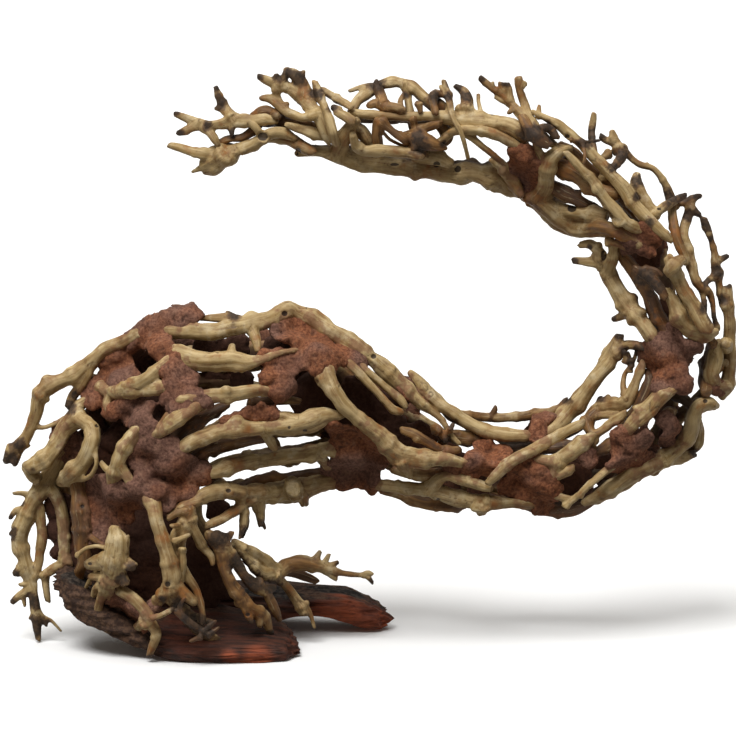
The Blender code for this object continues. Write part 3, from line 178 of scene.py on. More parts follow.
# Each root: (side, lift, strands). The first strand is the main root and the others grow from it.
ROOTS = {
    "left_arm_root": ("front", 4, (
        ((-126, 182, 4), (-145, 173, 4.5), (-153, 166, 4.6), (-161, 160, 4.5), (-170, 155, 4.5),
         (-179, 151, 4.4), (-182.5, 145, 4), (-183.5, 138, 3.6), (-186, 130, 3.4), (-189, 124, 3.4),
         (-193, 120, 4.2), (-197.5, 117, 3.4), (-200, 111, 2.8)),
        ((-190, 122, 3), (-194, 116, 3), (-196, 110, 2.8)),
        ((-152, 166, 3.2), (-155, 158, 3), (-159, 152, 3), (-163, 147, 3), (-165, 141, 3.4)),
        ((-185, 131, 1.7), (-179, 129.5, 1.5), (-172, 132, 1.5), (-166, 136, 1.5)),
    )),
    "left_antler_root": ("front", 2, (
        ((-164, 121, 4), (-170, 113, 4.5), (-175, 104, 4.6), (-180, 97, 5), (-184, 92, 5.4), (-187, 86, 5),
         (-190, 80, 4.8), (-193, 74, 4.4), (-193, 66, 3.8), (-190.5, 58, 3.4), (-189, 50, 3.2),
         (-187, 43, 3.8), (-185, 35, 3), (-184, 25, 2.6), (-183, 13, 2.4)),
        ((-184, 92, 3), (-181, 84, 2.7), (-180, 70, 2.7), (-182, 56, 2.7), (-186, 44, 2.6)),
        ((-178, 99, 3.6), (-173, 93, 3.6), (-170, 86, 3.5), (-168.5, 74, 3.4), (-168, 62, 3.6),
         (-168, 55, 3.4), (-174, 52, 3), (-180, 48, 2.8)),
        ((-179, 49, 2.6), (-178, 41, 2.4), (-177, 34, 2.3)),
        ((-186, 92, 2.4), (-191, 94, 1.8), (-196, 93.5, 1.4)),
        ((-189, 85, 2.2), (-195, 85, 2), (-198, 80, 1.8)), ((-190, 54, 2.4), (-195, 49, 2.6)),
        ((-187, 41, 2.2), (-193, 37, 2), (-197, 33, 2)), ((-184, 29, 2), (-178, 21, 1.7)),
    )),
    "knot_root": ("front", 11, (
        ((-153, 147, 3.2), (-160, 141, 3.8), (-159, 134, 4.2), (-152, 130, 4.4), (-151, 124, 4.4),
         (-153, 117, 4.4), (-158, 110, 4.5), (-164, 104, 4.2), (-170, 100, 3.4)),
        ((-160, 136, 4), (-166, 130, 4.8), (-171, 122, 5), (-176, 115, 5.6), (-182, 110.5, 6),
         (-188, 108, 4.6)),
    )),
    "splinter_fork_root": ("front", 12, (
        ((-107, 168, 3.2), (-113, 164, 3.5), (-121, 157, 3.9), (-130, 151, 4.3), (-138, 148.5, 4.2),
         (-145, 151, 3.4), (-150, 153, 2.2)),
        ((-130, 151, 3.9), (-118, 151, 4), (-108, 153, 3.8)),
        ((-141, 149, 3.2), (-144, 144, 2.5), (-142, 138, 2.2)),
    )),
    "y_root": ("front", 11, (
        ((-123, 133, 3.6), (-128, 127, 4), (-133, 120, 4.2), (-137, 112, 4.4), (-139, 105, 4.2),
         (-141, 98, 3.4)),
        ((-138, 108, 2.6), (-143, 106, 2), (-147, 111, 1.7)),
        ((-137, 110, 3), (-132, 103, 2.8), (-129, 97, 2.6)),
    )),
    "stained_column_root": ("front", 5, (
        ((-163, 107, 3.4), (-160, 98, 4.5), (-158, 87, 5), (-157, 76, 5), (-157, 66, 5.4), (-157, 57, 4.2),
         (-160, 49, 2.6), (-159.5, 40, 2.2), (-158, 29, 2)),
        ((-156, 73, 1.8), (-152, 69, 1.5), (-146, 66, 1.4), (-142, 64, 1.4)),
        ((-159.5, 41, 1.6), (-153, 44, 1.4)),
    )),
    "front_column_root": ("front", 12, (
        ((-123, 97, 4), (-119, 90, 4.8), (-116, 81, 4.3), (-113, 70, 4.1), (-110, 58, 4.2), (-108, 48, 4.6),
         (-110, 41, 3.9), (-115, 35, 3.3), (-119, 30, 2.8)),
        ((-108, 45, 3.8), (-101, 40, 3.4), (-95, 34.5, 3)),
        ((-108, 43, 3.6), (-106, 34, 4.2, -6), (-100, 26, 4.2, -14), (-94, 19, 3.6, -16),
         (-87, 14.5, 3, -16), (-80, 11.5, 2, -16)),
    )),
    "pale_knotty_root": ("front", 14, (
        ((-139, 75, 3.6), (-137, 67, 5.4), (-138, 58, 6.6), (-140, 50, 5.8), (-144, 44, 4),
         (-147.5, 35, 2.5), (-149, 27, 2.4), (-147, 21.5, 2.3), (-142, 18, 2)),
        ((-140, 57, 4.4), (-148, 56, 4), (-155, 55, 3.2)),
        ((-142, 48, 3.2), (-148, 48, 2.4), (-153, 48, 1.8)),
        ((-145, 46, 2.4), (-151, 42, 1.6), (-153, 31, 1.4)), ((-137, 56, 3.2), (-129.5, 53, 2.8)),
    )),
    "ring_root": ("front", 10, (
        ((-140, 42, 2.8), (-133, 39, 3.6), (-127, 35, 3.6), (-122.5, 30, 3.6), (-121, 24, 3.8),
         (-116, 17, 2.8), (-118.5, 11, 2.5), (-121, 5, 2.2)),
        ((-122, 24, 3.2), (-128, 20, 2.8)),
    )),
    "crook_root": ("front", 9, (
        ((-98, 86, 3.8), (-99, 78, 4.2), (-103, 70, 3.8), (-104, 61, 3.5), (-103, 53, 3.2), (-98.5, 47, 2.4),
         (-94, 41, 1.9), (-91.5, 32, 1.8), (-91, 22, 1.6)),
        ((-98, 80, 3), (-95, 72, 2.8), (-91, 64, 2.5), (-86.5, 60, 2.1), (-85.5, 55, 1.6)),
        ((-100, 78, 3), (-106, 73, 3), (-107, 66, 2)), ((-100, 84, 2.8), (-104, 84, 2.4), (-110, 80, 1.8)),
    )),
    "stump_leg_root": ("front", 12, (
        ((-88, 71, 4), (-82, 68, 5.4), (-80, 60, 4.2), (-78, 52, 3.8), (-75, 44, 3.8), (-71, 37, 4),
         (-65, 31, 3.8), (-58, 27, 3.4), (-55.5, 21, 2.6), (-54, 17, 2)),
        ((-82, 68, 4), (-77, 70, 3), (-75, 73, 1.8)),
        ((-81, 66, 4), (-74, 57, 3.6), (-69, 49, 3.4), (-64, 44, 3.9), (-58, 40, 3.6), (-52, 42, 1.8)),
        ((-70, 36, 3.2), (-67.5, 29, 3), (-65, 23, 2.3)), ((-61, 29, 3), (-60, 21, 2.3)),
    )),
    "hand_root": ("front", 8, (
        ((-72, 63, 2.4), (-65, 55, 2.8), (-58, 49.5, 3.4), (-51, 50, 4), (-45, 54, 4.6), (-38, 56, 4.6),
         (-30, 54.5, 4), (-23, 52, 3), (-16, 50, 2.1), (-8, 48.5, 1.8), (-1, 48, 2), (2, 44, 1.4)),
        ((-51, 51, 3.4), (-58, 57.5, 3.6), (-66, 62, 3.4), (-74, 67, 2.8)),
        ((-30, 56, 2.2), (-27, 61.5, 1.6)), ((-24, 53, 2), (-17, 55.5, 1.6)), ((-24, 51, 2), (-18, 46, 1.6)),
        ((-53, 49, 3), (-47, 44, 2.7), (-42, 38, 2.8), (-38, 32, 3.2), (-35.5, 27, 3.2)),
    )),
    "crest_root": ("front", 1, (
        ((-116, 184, 4.2), (-100, 182.5, 5), (-85, 183, 5), (-70, 185, 5), (-59, 188, 5), (-50, 192, 4.6),
         (-44, 195, 4.6), (-36, 192, 4.9), (-27, 187, 5), (-15, 179.5, 5), (-5, 173, 5), (3, 166.5, 4.6),
         (10, 160, 4.5), (16, 154.5, 4.5), (22, 149, 4.2), (28, 143, 3.6), (33.5, 139.5, 2.2),
         (39, 135, 1.8), (43, 130, 1.7), (46, 125, 1.7), (50, 121, 1.6)),
        ((-64, 185, 3.2), (-62, 178, 2.6), (-61, 172, 2)),
        ((-66, 187, 2.8), (-76, 190, 2.8), (-86, 190.5, 2.4), (-93, 190, 1.8)),
    )),
    "upper_band_root": ("front", 3, (
        ((-113, 172, 4), (-104, 169, 5.2), (-95, 167, 5.5), (-85, 166, 5.5), (-75, 167, 5.2),
         (-66, 166, 4.4), (-57, 168, 2.4), (-47, 171, 1.8), (-36, 173, 1.6)),
        ((-76, 168, 3.2), (-75, 175, 2.4)),
    )),
    "middle_band_root": ("front", 4, (
        ((-109, 145, 3.2), (-98, 146, 4), (-88, 147, 4.2), (-75, 149, 4.2), (-62, 151, 4), (-50, 150, 3.2)),
    )),
    "splinter_band_root": ("front", 8, (
        ((-120, 124, 2.8), (-114, 128, 3.6), (-108, 132, 4), (-101, 137, 4), (-94, 142, 3.4),
         (-89, 145, 2.2)),
        ((-113, 129, 3), (-110, 136, 2.7), (-107, 141, 2.2)),
    )),
    "pointed_root": ("front", 7, (
        ((-107, 116, 3.2), (-101, 120, 4.2), (-93, 124, 4.6), (-84, 128, 5), (-74, 131, 5), (-64, 130, 4.6),
         (-54, 130, 4.6), (-45, 130.5, 5.2), (-37, 132, 6.2), (-30, 134, 6.8), (-23, 136, 5.2),
         (-17, 137, 3), (-13, 137, 1.4)),
        ((-39, 133, 3.6), (-47, 137, 3), (-55, 137, 2)), ((-58, 130, 3.2), (-54, 123, 2.6), (-51, 118, 1.9)),
    )),
    "lower_band_root": ("front", 6, (
        ((-91, 104, 3), (-82, 107, 4), (-72, 110, 4.5), (-60, 112, 4.5), (-48, 114, 4.5), (-38, 115, 4.6),
         (-29, 117, 4.6), (-22, 120, 3.8), (-17, 122.5, 2.6)),
        ((-28, 116, 3.2), (-22, 108, 2.4)), ((-24, 118, 3), (-12, 115.5, 2.4)),
    )),
    "keel_root": ("front", 5, (
        ((-110, 81, 2.6), (-103, 86, 3.4), (-95, 90.5, 3.8), (-88, 94, 4.5), (-80, 95.5, 5), (-70, 94, 5.5),
         (-58, 93, 5.6), (-46, 95, 5.8), (-34, 97, 5.2), (-24, 100, 4), (-14, 101, 3.2)),
        ((-38, 95, 3.6), (-36, 87.5, 2.5)), ((-71, 93, 3), (-69, 84, 2.4), (-69, 76, 2.2), (-71, 69, 1.3)),
        ((-62, 92, 4), (-60, 83, 2.8), (-60, 76, 1.6)),
        ((-66, 91, 3.6), (-73, 85, 3), (-81, 80, 2.5), (-89, 76, 2.4)),
    )),
    "flared_root": ("front", 9, (
        ((-25, 166, 6), (-24, 158, 5.6), (-20, 150, 4.7), (-15, 143, 4.5), (-8, 137, 4.5), (-1, 131.5, 4.5),
         (6, 125.5, 4.7), (12, 119.5, 5.4), (19, 114, 6), (27, 112.5, 5.6), (35, 113, 4.6), (43, 112.5, 3.8),
         (50, 111, 3.4), (57, 110.5, 2.4)),
        ((18, 113, 4), (21, 107, 2.8), (22, 102.5, 2)),
    )),
    "long_peeled_root": ("front", 6, (
        ((22, 160, 2.6), (26, 156, 3.6), (31, 150, 3.8), (37, 144.5, 3.8), (44, 139, 3.8), (52, 134, 3.8),
         (60, 129.5, 3.8), (68, 127, 3.8), (77, 125.5, 4), (86, 125.5, 3.8), (93, 126.5, 2.8)),
    )),
    "back_edge_root": ("front", -6, (
        ((44, 138.5, 2), (52, 137, 2.3), (62, 135.5, 2.4), (72, 135, 2.6), (82, 136, 3), (91, 137, 3.2),
         (100, 138, 2.8), (106, 141, 2.2), (109, 146, 1.4)),
        ((67, 135, 2), (70, 141.5, 1.7)),
    )),
    "keel_middle_root": ("front", 6, (
        ((2, 98, 2.4), (10, 97.5, 3.2), (20, 96.5, 3.6), (30, 96, 3.8), (40, 94, 4.2), (48, 91.5, 4.4),
         (56, 89.5, 4.6), (63, 88.5, 5), (71, 89, 3.8), (79, 89, 3.2), (88, 87.5, 2.6), (94, 86, 2)),
        ((62, 88, 4.4), (62, 83, 3.2)),
        ((33, 96, 3.4), (38, 101, 3), (43, 104, 2.8), (50, 102, 3.2), (58, 99.5, 3.2), (67, 96.5, 2.8)),
    )),
    "diagonal_root": ("front", 12, (
        ((65, 99, 2.4), (69, 103, 2.8), (75, 109, 3), (83, 114, 3.2), (92, 119.5, 3.2), (101, 124, 3.2),
         (110, 128.5, 3.2), (118, 132.5, 2.8)),
    )),
    "yellow_root": ("front", 6, (
        ((88, 113, 2.6), (94, 112, 4), (100, 111, 4.8), (106, 114, 5), (112, 118, 5), (118, 122, 4),
         (123, 126, 2.8)),
        ((103, 111, 3.6), (101, 104, 3.2), (95, 99, 2.4)),
    )),
    "tall_branch_root": ("front", 3, (
        ((97, 125, 3.2), (104, 131, 3.8), (110, 138, 4), (116, 144, 4.2), (121, 151, 3.8), (126, 158, 3.8),
         (131, 165, 4), (135, 171, 4.2), (137, 176, 3.4), (138.5, 180, 2.4)),
        ((136, 171, 3.4), (142, 175, 3), (147, 175, 2.4), (152, 173, 2)),
    )),
    "knobby_root": ("front", 0, (
        ((118, 130, 2.8), (122, 136, 3.6), (127, 140, 4.2), (133, 142, 4.4), (139, 142.5, 4),
         (143, 147, 3.2), (145.5, 154, 2.8), (148.5, 161, 2.4), (151, 168, 1.8)),
        ((141, 145, 2.6), (139.5, 153, 1.8), (140.5, 160, 1.7), (145, 164, 1.6)),
        ((126, 140, 3), (127, 146.5, 2)),
        ((120, 133, 2.8), (123, 126, 3), (129, 129, 3), (136, 134, 2.8), (141, 138, 2.6)),
    )),
    "dark_edge_root": ("front", -4, (
        ((124, 116, 2.8), (131, 119, 3.6), (137.5, 123.5, 4), (142, 129, 4), (146, 136, 4), (150, 143, 4),
         (153, 150, 3.8), (155, 157, 3.2), (152, 161, 2.2)),
    )),
    "amber_root": ("front", 7, (
        ((139, 126, 3), (144, 131, 4.6), (150, 137, 5), (156, 143, 5), (162, 148, 4.6), (168, 152, 3.4),
         (173, 153.5, 2.4)),
    )),
    "sweep_root": ("front", 3, (
        ((118, 88, 2.8), (124, 91.5, 3.8), (131, 96, 4.4), (139, 101, 4.8), (147, 105.5, 4.9),
         (155, 109.5, 4.7), (163, 112.5, 4.3), (171, 113.5, 3.9), (179, 115.5, 2.6)),
        ((162, 113, 3.8), (169, 117.5, 4), (174.5, 122.5, 4.3), (177.5, 129, 4.4), (177.5, 136, 4.4),
         (180.5, 142, 4.5), (186, 144, 4.1), (191, 142, 2.6)),
    )),
    "outer_rim_root": ("front", 1, (
        ((194, 146, 2.6), (197, 152, 3.9), (198.5, 161, 3.7), (199, 170, 3.5), (198.5, 180, 3.4),
         (197.5, 190, 3.3), (196.5, 199, 3.4), (196.5, 207, 3.3)),
        ((196, 152, 3.2), (190, 154, 4), (187, 160, 4.8), (190, 168, 5), (191, 176, 4.2)),
    )),
    "fork_branch_root": ("front", 6, (
        ((158, 174, 3.2), (154, 181, 4.5), (149, 188, 4.8), (143.5, 194, 5.2), (139, 201, 4.5),
         (135, 208, 4.3), (131, 215, 4.9), (127, 221, 4.6), (126, 227, 3), (121.5, 231, 2.6),
         (116, 230, 2.4)),
        ((127, 220.5, 3.4), (119.5, 220.5, 2.5), (112, 221.5, 2.2)),
        ((131, 215, 3.4), (133.5, 222, 2.8), (133.5, 229, 2.6), (131, 234, 2)),
        ((143, 193, 3.2), (138, 191, 2.4), (134, 189.5, 2.2)), ((144, 194, 3.2), (150.5, 193, 2.2)),
    )),
    "dark_column_root": ("front", -4, (
        ((134, 229, 2.8), (141, 222, 4.2), (147, 213, 4.6), (152, 204, 4.8), (157, 195, 4.8), (161, 187, 5),
         (164, 179, 4.6)),
    )),
    "rosette_root": ("front", 8, (
        ((163, 223, 3.2), (167, 216, 4), (171, 208, 4.1), (175, 201, 4.4), (179, 194, 4.6), (182.5, 188, 5),
         (185, 184, 5.2, 5)),
    )),
    "flared_block_root": ("front", 5, (
        ((163, 206, 2.6), (166, 200.5, 4), (168.5, 194.5, 4.3), (172, 189, 4.6), (177, 184, 5.4),
         (184, 181.5, 4.8), (190.5, 183, 2.6)),
    )),
    "right_twig_root": ("front", -2, (
        ((180, 257, 1.6), (176, 252, 2.6), (175.5, 246, 2.9), (173, 240, 2.8), (172, 234, 2.8),
         (175, 227, 3), (177, 219, 2.8), (178.5, 212.5, 2.7), (182, 207, 2.8), (187, 204.5, 2.4),
         (189, 198, 1.6), (189.5, 191, 1.5), (191.5, 183, 1.6)),
        ((176, 250, 2.4), (181, 247, 2.3)),
        ((183, 207, 1.8), (187, 211.5, 1.7), (191, 213, 3), (190.5, 219, 3), (190, 225, 2.2), (188, 232, 2),
         (186, 239, 2.5), (183.5, 244.5, 2.8)),
        ((191, 215, 2.8), (192.5, 208, 2.4), (194, 201, 2.8), (195.5, 194, 2.6)),
        ((190, 220, 2.2), (197, 224, 1.8)),
    )),
    "crown_loop_root": ("front", 1, (
        ((133, 292.5, 1.9), (134, 288, 2.8), (137, 284, 2.8), (141, 280.5, 2.4), (144.5, 276.5, 2.2),
         (149, 273.5, 2.2), (155, 272.5, 2.2), (159, 268.5, 2.2), (163, 262.5, 2.4), (165, 256, 3.4),
         (166, 249, 2.9), (167, 242, 3), (168, 235, 3), (170.5, 228, 3), (174, 220, 2.8)),
        ((137.5, 283, 2.8), (138.5, 277.5, 3.2), (135, 273, 2.4), (130, 270.5, 2)),
        ((134, 287, 2.2), (130, 287, 1.8), (127, 290, 1.9)),
    )),
    "long_straight_root": ("front", 8, (
        ((89, 303, 1.5), (94, 300, 2.2), (99, 297, 2.4), (104, 295, 2.8), (110, 289.5, 3.4), (118, 283, 3.4),
         (126, 275.5, 3.6), (133, 267.5, 3.6), (140, 258.5, 3.8), (147, 249.5, 3.8), (154, 241.5, 3.8),
         (160, 236, 3.3), (165, 232, 2.2)),
    )),
    "second_straight_root": ("front", 10, (
        ((107, 280, 2.4), (113, 274.5, 3), (120, 267.5, 3), (126, 260, 3.2), (132, 252, 3.2),
         (137, 245, 3.2), (141, 240.5, 3.2), (147, 238, 2.9), (152, 238, 2)),
    )),
    "knotted_spur_root": ("front", 5, (
        ((147, 269, 2.6), (146, 263, 3.4), (149.5, 257, 3.5), (153, 251, 3.4), (157, 247, 3),
         (163, 251.5, 2.8), (168.5, 255.5, 2.5), (173.5, 257.5, 2)),
        ((156, 247, 3), (152.5, 242.5, 2.6)),
    )),
    "under_bend_root": ("front", 4, (
        ((86, 256, 3.6), (92, 255.5, 5.3), (98, 250.5, 6), (104.5, 244.5, 6), (112.5, 240.5, 5.8),
         (121, 239.5, 5.4), (129, 239, 5), (137, 238, 4), (145, 233, 3.4), (151, 228, 2.4)),
        ((93, 256, 4.4), (96, 263, 4.4), (97, 270, 4.4), (98, 277, 4.2), (103.5, 282, 3.8), (110, 283, 2.8)),
        ((97, 272, 3), (93.5, 279, 2.2), (90, 285.5, 1.8)),
        ((103, 249, 4), (110, 248.5, 4), (119, 247, 3.8), (129, 245.5, 3.7)),
    )),
    "brown_bridge_root": ("front", -3, (
        ((104, 285.5, 2.6), (110, 281.5, 3.2), (116, 276, 3.4), (122, 270, 4), (128, 265, 4.6),
         (134, 260, 4.8), (141, 255, 4.8), (147.5, 249, 3.8), (152, 243.5, 2.6)),
    )),
    "crown_twig_root": ("front", 3, (
        ((81, 321, 3), (82, 314, 2.6), (85, 307, 2.7), (88, 299.5, 2.8), (91, 293, 3), (96, 287.5, 3.2),
         (102, 284, 2.6)),
        ((90, 294, 2.8), (86.5, 297.5, 3.2), (83, 301.5, 2.9), (78.5, 306.5, 2.5), (74, 311.5, 2.3),
         (67, 316, 2), (60.5, 321, 2.2)),
        ((77, 309, 2.2), (77, 314, 2.2), (75, 318, 2.4)), ((78, 307, 1.7), (73, 308.5, 1.5), (69, 311, 1.3)),
    )),
    "arm_lower_root": ("front", 3, (
        ((-38.5, 281, 3.8), (-32, 281.5, 3.7), (-25, 281, 4), (-18, 279.5, 5.2), (-9, 277, 5.4),
         (1, 274.5, 5.3), (11, 273, 5.2), (22, 272, 5.5), (33, 271, 6), (45, 270, 6.4), (57, 269.5, 6.5),
         (68, 267, 5.8), (77, 262, 4.8), (84, 257.5, 3.2)),
        ((-17, 280, 4.8), (-14, 288, 4.6), (-10, 295, 4.2), (-6, 298, 3)),
    )),
    "arm_upper_root": ("front", 2, (
        ((86, 287, 4.4), (80, 293.5, 5.5), (72, 296.5, 6), (62, 297.5, 6.2), (52, 298.5, 5.9),
         (42, 299.5, 4.4), (30, 300, 3.3), (18, 300, 3.2), (6, 300, 3.1), (-4, 301, 2.9), (-10, 303, 2.4)),
        ((53, 302, 4.4), (54, 309, 3.5), (52.5, 314, 2.9), (47, 317, 1.8)),
        ((44, 300, 3), (44, 309, 2.2), (41, 320, 1.5)),
        ((50, 295, 3), (43, 290, 2.5), (39, 286, 2.5), (32, 284, 2.4), (27, 283.5, 2.4)),
    )),
    "arch_root": ("front", -3, (
        ((-10, 302, 2.8), (-6.5, 309, 3.2), (0, 314, 3.2), (7, 318, 3), (14, 319, 3), (22, 317, 3.2),
         (29, 311.5, 3.6), (35, 307, 3.9), (41.5, 303.5, 3.6)),
        ((5, 317, 2), (0, 317.5, 1.5), (-6, 316, 1.4), (-11, 314, 1.2)),
        ((19, 318, 2.2), (21.5, 311, 2.1), (22.5, 304, 2.2), (24, 295, 2.8), (27, 288, 3.8), (28, 282, 3)),
    )),
    "tip_upper_root": ("front", 3, (
        ((-106, 302, 1.8), (-99, 299, 2.4), (-94, 296.5, 3), (-87, 295, 2.7), (-81, 295.5, 2.9),
         (-74, 297.5, 3.7), (-66, 298, 3.8), (-58, 298, 4.2), (-51, 297.5, 3.2)),
        ((-94, 295.5, 2.6), (-99, 292.5, 2.3), (-104.5, 291, 1.9)),
        ((-75, 299, 3), (-79, 305, 2.9), (-81.5, 310, 2.4), (-83.5, 316.5, 1.6)),
        ((-90, 294.5, 2.5), (-85, 289.5, 2.6), (-82.5, 285, 2.2)),
    )),
    "tip_lower_root": ("front", 5, (
        ((-91, 274, 4.8), (-84, 276.5, 5.7), (-76, 280.5, 4.4), (-68, 282.5, 3.9), (-61, 286, 3.9),
         (-54, 290.5, 3.6), (-46, 291.5, 3.3), (-40, 288, 2.2)),
        ((-84, 279, 3.2), (-92, 280.5, 2.8), (-100, 282, 2.6), (-109, 284.5, 2.3)),
        ((-58, 289, 2.8), (-62, 294, 2.2), (-66, 297, 1.7)),
    )),
    "tip_fan_root": ("front", 5, (
        ((-60.5, 322, 1.8), (-55, 319, 2.7), (-49, 316.5, 3.1), (-42, 315.5, 3.5), (-36, 311, 4.1),
         (-31, 305, 3.7), (-27, 298.5, 3.5), (-24, 292, 3.4), (-21, 286, 3)),
        ((-50, 317, 2.4), (-50.5, 323, 1.7)),
        ((-36, 312, 3.6), (-37, 318, 3.8), (-41, 323, 3.2), (-46, 325.5, 1.8)),
        ((-33, 308, 3), (-29, 313, 2.6), (-26, 315.5, 2.3), (-21, 312, 2.2), (-14, 307.5, 2.2)),
        ((-29, 301, 3), (-37, 298.5, 3), (-44, 302, 3.2), (-49, 307, 3.1), (-54, 310, 2.9), (-59, 310, 2)),
    )),
    "stump_back_root": ("back", 0, (
        ((-152, 158, 4.5), (-142, 140, 5.6), (-130, 120, 6), (-120, 98, 6), (-113, 76, 5.6),
         (-108, 56, 4.6)),
        ((-130, 120, 5), (-146, 104, 5), (-154, 82, 4.6), (-152, 62, 3.8)),
        ((-120, 98, 5), (-100, 84, 5), (-91, 68, 4.6), (-86, 54, 3.8)),
        ((-142, 140, 4.8), (-118, 150, 5), (-92, 156, 4.6), (-66, 158, 4)),
    )),
    "trunk_crest_back_root": ("back", 2, (
        ((-104, 172, 4.6), (-80, 172, 5.6), (-52, 174, 5.8), (-28, 168, 5.6), (-8, 156, 5.4), (12, 143, 5),
         (30, 131, 4.6), (46, 121, 3.8)),
        ((-28, 168, 4.4), (-20, 152, 4.2), (-14, 140, 3.6)),
    )),
    "trunk_back_root": ("back", 3, (
        ((-96, 124, 4.4), (-76, 130, 5.2), (-52, 130, 5.2), (-30, 131, 5.4), (-10, 124, 5.4), (8, 114, 5),
         (28, 106, 4.8), (50, 98, 4.8), (72, 96, 4)),
        ((-86, 128, 4.4), (-94, 110, 4.4), (-80, 94, 4.6), (-58, 93, 4.8), (-36, 97, 4.6), (-14, 101, 4.2),
         (8, 97, 3.6)),
    )),
    "bend_back_root": ("back", 1, (
        ((62, 114, 4), (86, 112, 5), (108, 104, 5.2), (130, 103, 5.2), (150, 112, 5.2), (163, 130, 5.2),
         (168, 150, 5.2), (167, 172, 5.2), (166, 194, 5.2), (163, 214, 5), (157, 232, 4.8), (146, 248, 4.4),
         (133, 262, 3.8)),
        ((163, 130, 4.2), (176, 140, 4), (186, 150, 3.6), (192, 166, 3.2)),
    )),
}

# Twigs, stubs and splints too fine for the frame. Each grows from the root it is listed under.
TWIGS = {
    "left_antler_root": (
        ((-193, 76, 2.2), (-197, 71, 2.5)), ((-187, 44, 1.8), (-193, 43, 1.5)),
        ((-187, 39, 1.7), (-191, 38, 1.5), (-190, 31, 1.2)), ((-184, 28, 1.8), (-187, 24, 1.5)),
        ((-182, 27, 1), (-175, 23, 0.9), (-170, 17, 0.8)), ((-168, 58, 3), (-166, 54, 3.2)),
    ),
    "knot_root": (
        ((-150, 119, 1.7), (-149, 110, 1.5), (-152, 104, 1.5), (-157, 101.5, 1.5), (-163, 101, 1.6)),
    ),
    "pale_knotty_root": (
        ((-138, 52, 3), (-133, 45, 3.2)), ((-139, 66, 3), (-138.5, 71, 2.2), (-138, 75.5, 1.3)),
        ((-135, 62, 2.8), (-132.5, 67, 2), (-131.5, 71, 1.2)),
        ((-145, 51, 1.8), (-148, 45, 1.5), (-150, 38, 1.2)),
        ((-141, 49, 2), (-141, 42, 1.7), (-142.5, 35, 1.4)), ((-133, 57, 2), (-127.5, 55, 1.7)),
    ),
    "stump_leg_root": (((-61, 45, 2.6), (-58, 42, 2.4), (-55, 36, 3), (-52, 30, 3), (-49, 24, 2.2)),),
    "hand_root": (
        ((-36, 32, 1.8), (-33, 29, 1.6), (-31, 24, 1.2), (-30, 19, 1)),
        ((-26, 52, 2), (-25, 54, 1.6), (-22, 60, 1.3)), ((-4, 48, 1.6), (-1, 51, 1.2), (2, 49, 1.3)),
    ),
    "front_column_root": (((-100, 27, 2.4), (-95, 27, 2), (-90, 24, 2), (-85, 23, 1.8)),),
    "crest_root": (((-64, 187, 2.2), (-70, 189, 1.9), (-78, 193, 1.5)),),
    "keel_root": (
        ((-60, 81, 1.8), (-57, 74, 1.2)), ((-41, 95.5, 4.6), (-41, 96, 4.6, 4), (-41, 96.5, 4.2, 8)),
    ),
    "keel_middle_root": (((54, 100, 2.2), (55, 102, 1.8), (57, 106, 1.4)), ((36, 94, 2.4), (37, 91, 2.2)),),
    "amber_root": (((148, 138, 3), (155, 146, 3), (160, 152, 2.6)),),
    "knobby_root": (
        ((143, 161, 1.6), (146, 168, 1.3), (147, 173, 1.2)), ((144, 166, 1.4), (142, 171, 1.4)),
        ((141, 166, 1.6), (141, 169, 1.5), (140, 172, 1.8)), ((131, 143, 1.8), (132, 147, 1.5)),
        ((123, 136, 2.4), (130, 137, 2.8), (136, 137, 2.4)),
        ((124, 124, 2), (122, 120, 2), (124, 118.5, 1.8)),
    ),
    "fork_branch_root": (
        ((130, 232, 2.4), (136, 231, 2.2), (141, 228, 1.6)),
        ((126, 229, 2.2), (120, 231.5, 2), (115, 229.5, 1.6)),
    ),
    "right_twig_root": (
        ((183, 205, 2), (184, 197, 1.8), (184, 192, 1.6)),
        ((171, 253, 1.8), (177, 256, 1.8), (182, 257, 1.6)), ((168, 255, 2), (169, 250, 2)),
    ),
    "second_straight_root": (((138, 243, 2.6), (136, 240, 2.4), (133, 243.5, 1.6)),),
    "under_bend_root": (((97, 273, 3), (102, 277, 2.6), (107, 281, 2.4)),),
    "crown_loop_root": (
        ((131, 272, 3), (128, 266, 3)), ((131, 280, 2.2), (127, 277, 2)), ((152, 274, 1), (156, 271, 0.8)),
    ),
    "long_straight_root": (((93, 300, 1.6), (93, 306, 1.3)),),
    "crown_twig_root": (
        ((83, 317, 1.8), (83, 319.5, 1.6), (86, 318, 1.4)), ((74, 314, 1.6), (72, 318.5, 2)),
        ((68, 315, 1.2), (68, 319, 1.1)), ((79, 305, 1.6), (76, 302, 1.5)),
    ),
    "arm_upper_root": (((61, 301, 1.6), (60, 308, 1.2), (60, 312, 1.2)),),
    "tip_upper_root": (((-79, 304, 2), (-84, 305, 1.6)), ((-75, 297, 2.4), (-75, 290, 1.6)),),
    "tip_lower_root": (
        ((-92, 272, 1.4), (-97, 270, 0.9)),
        ((-77, 280, 5), (-82, 275.5, 5.6), (-86, 272.5, 5.2), (-90, 271.5, 4.2)),
    ),
    "tip_fan_root": (
        ((-45, 316, 2.4), (-47, 319, 2.2), (-46, 324, 2)), ((-37, 320, 1.9), (-36, 325, 1.5)),
        ((-51, 315, 2.2), (-49.5, 309, 2), (-47, 305, 2.2), (-44, 307, 2)), ((-18, 310, 2), (-9, 304.5, 2)),
    ),
}

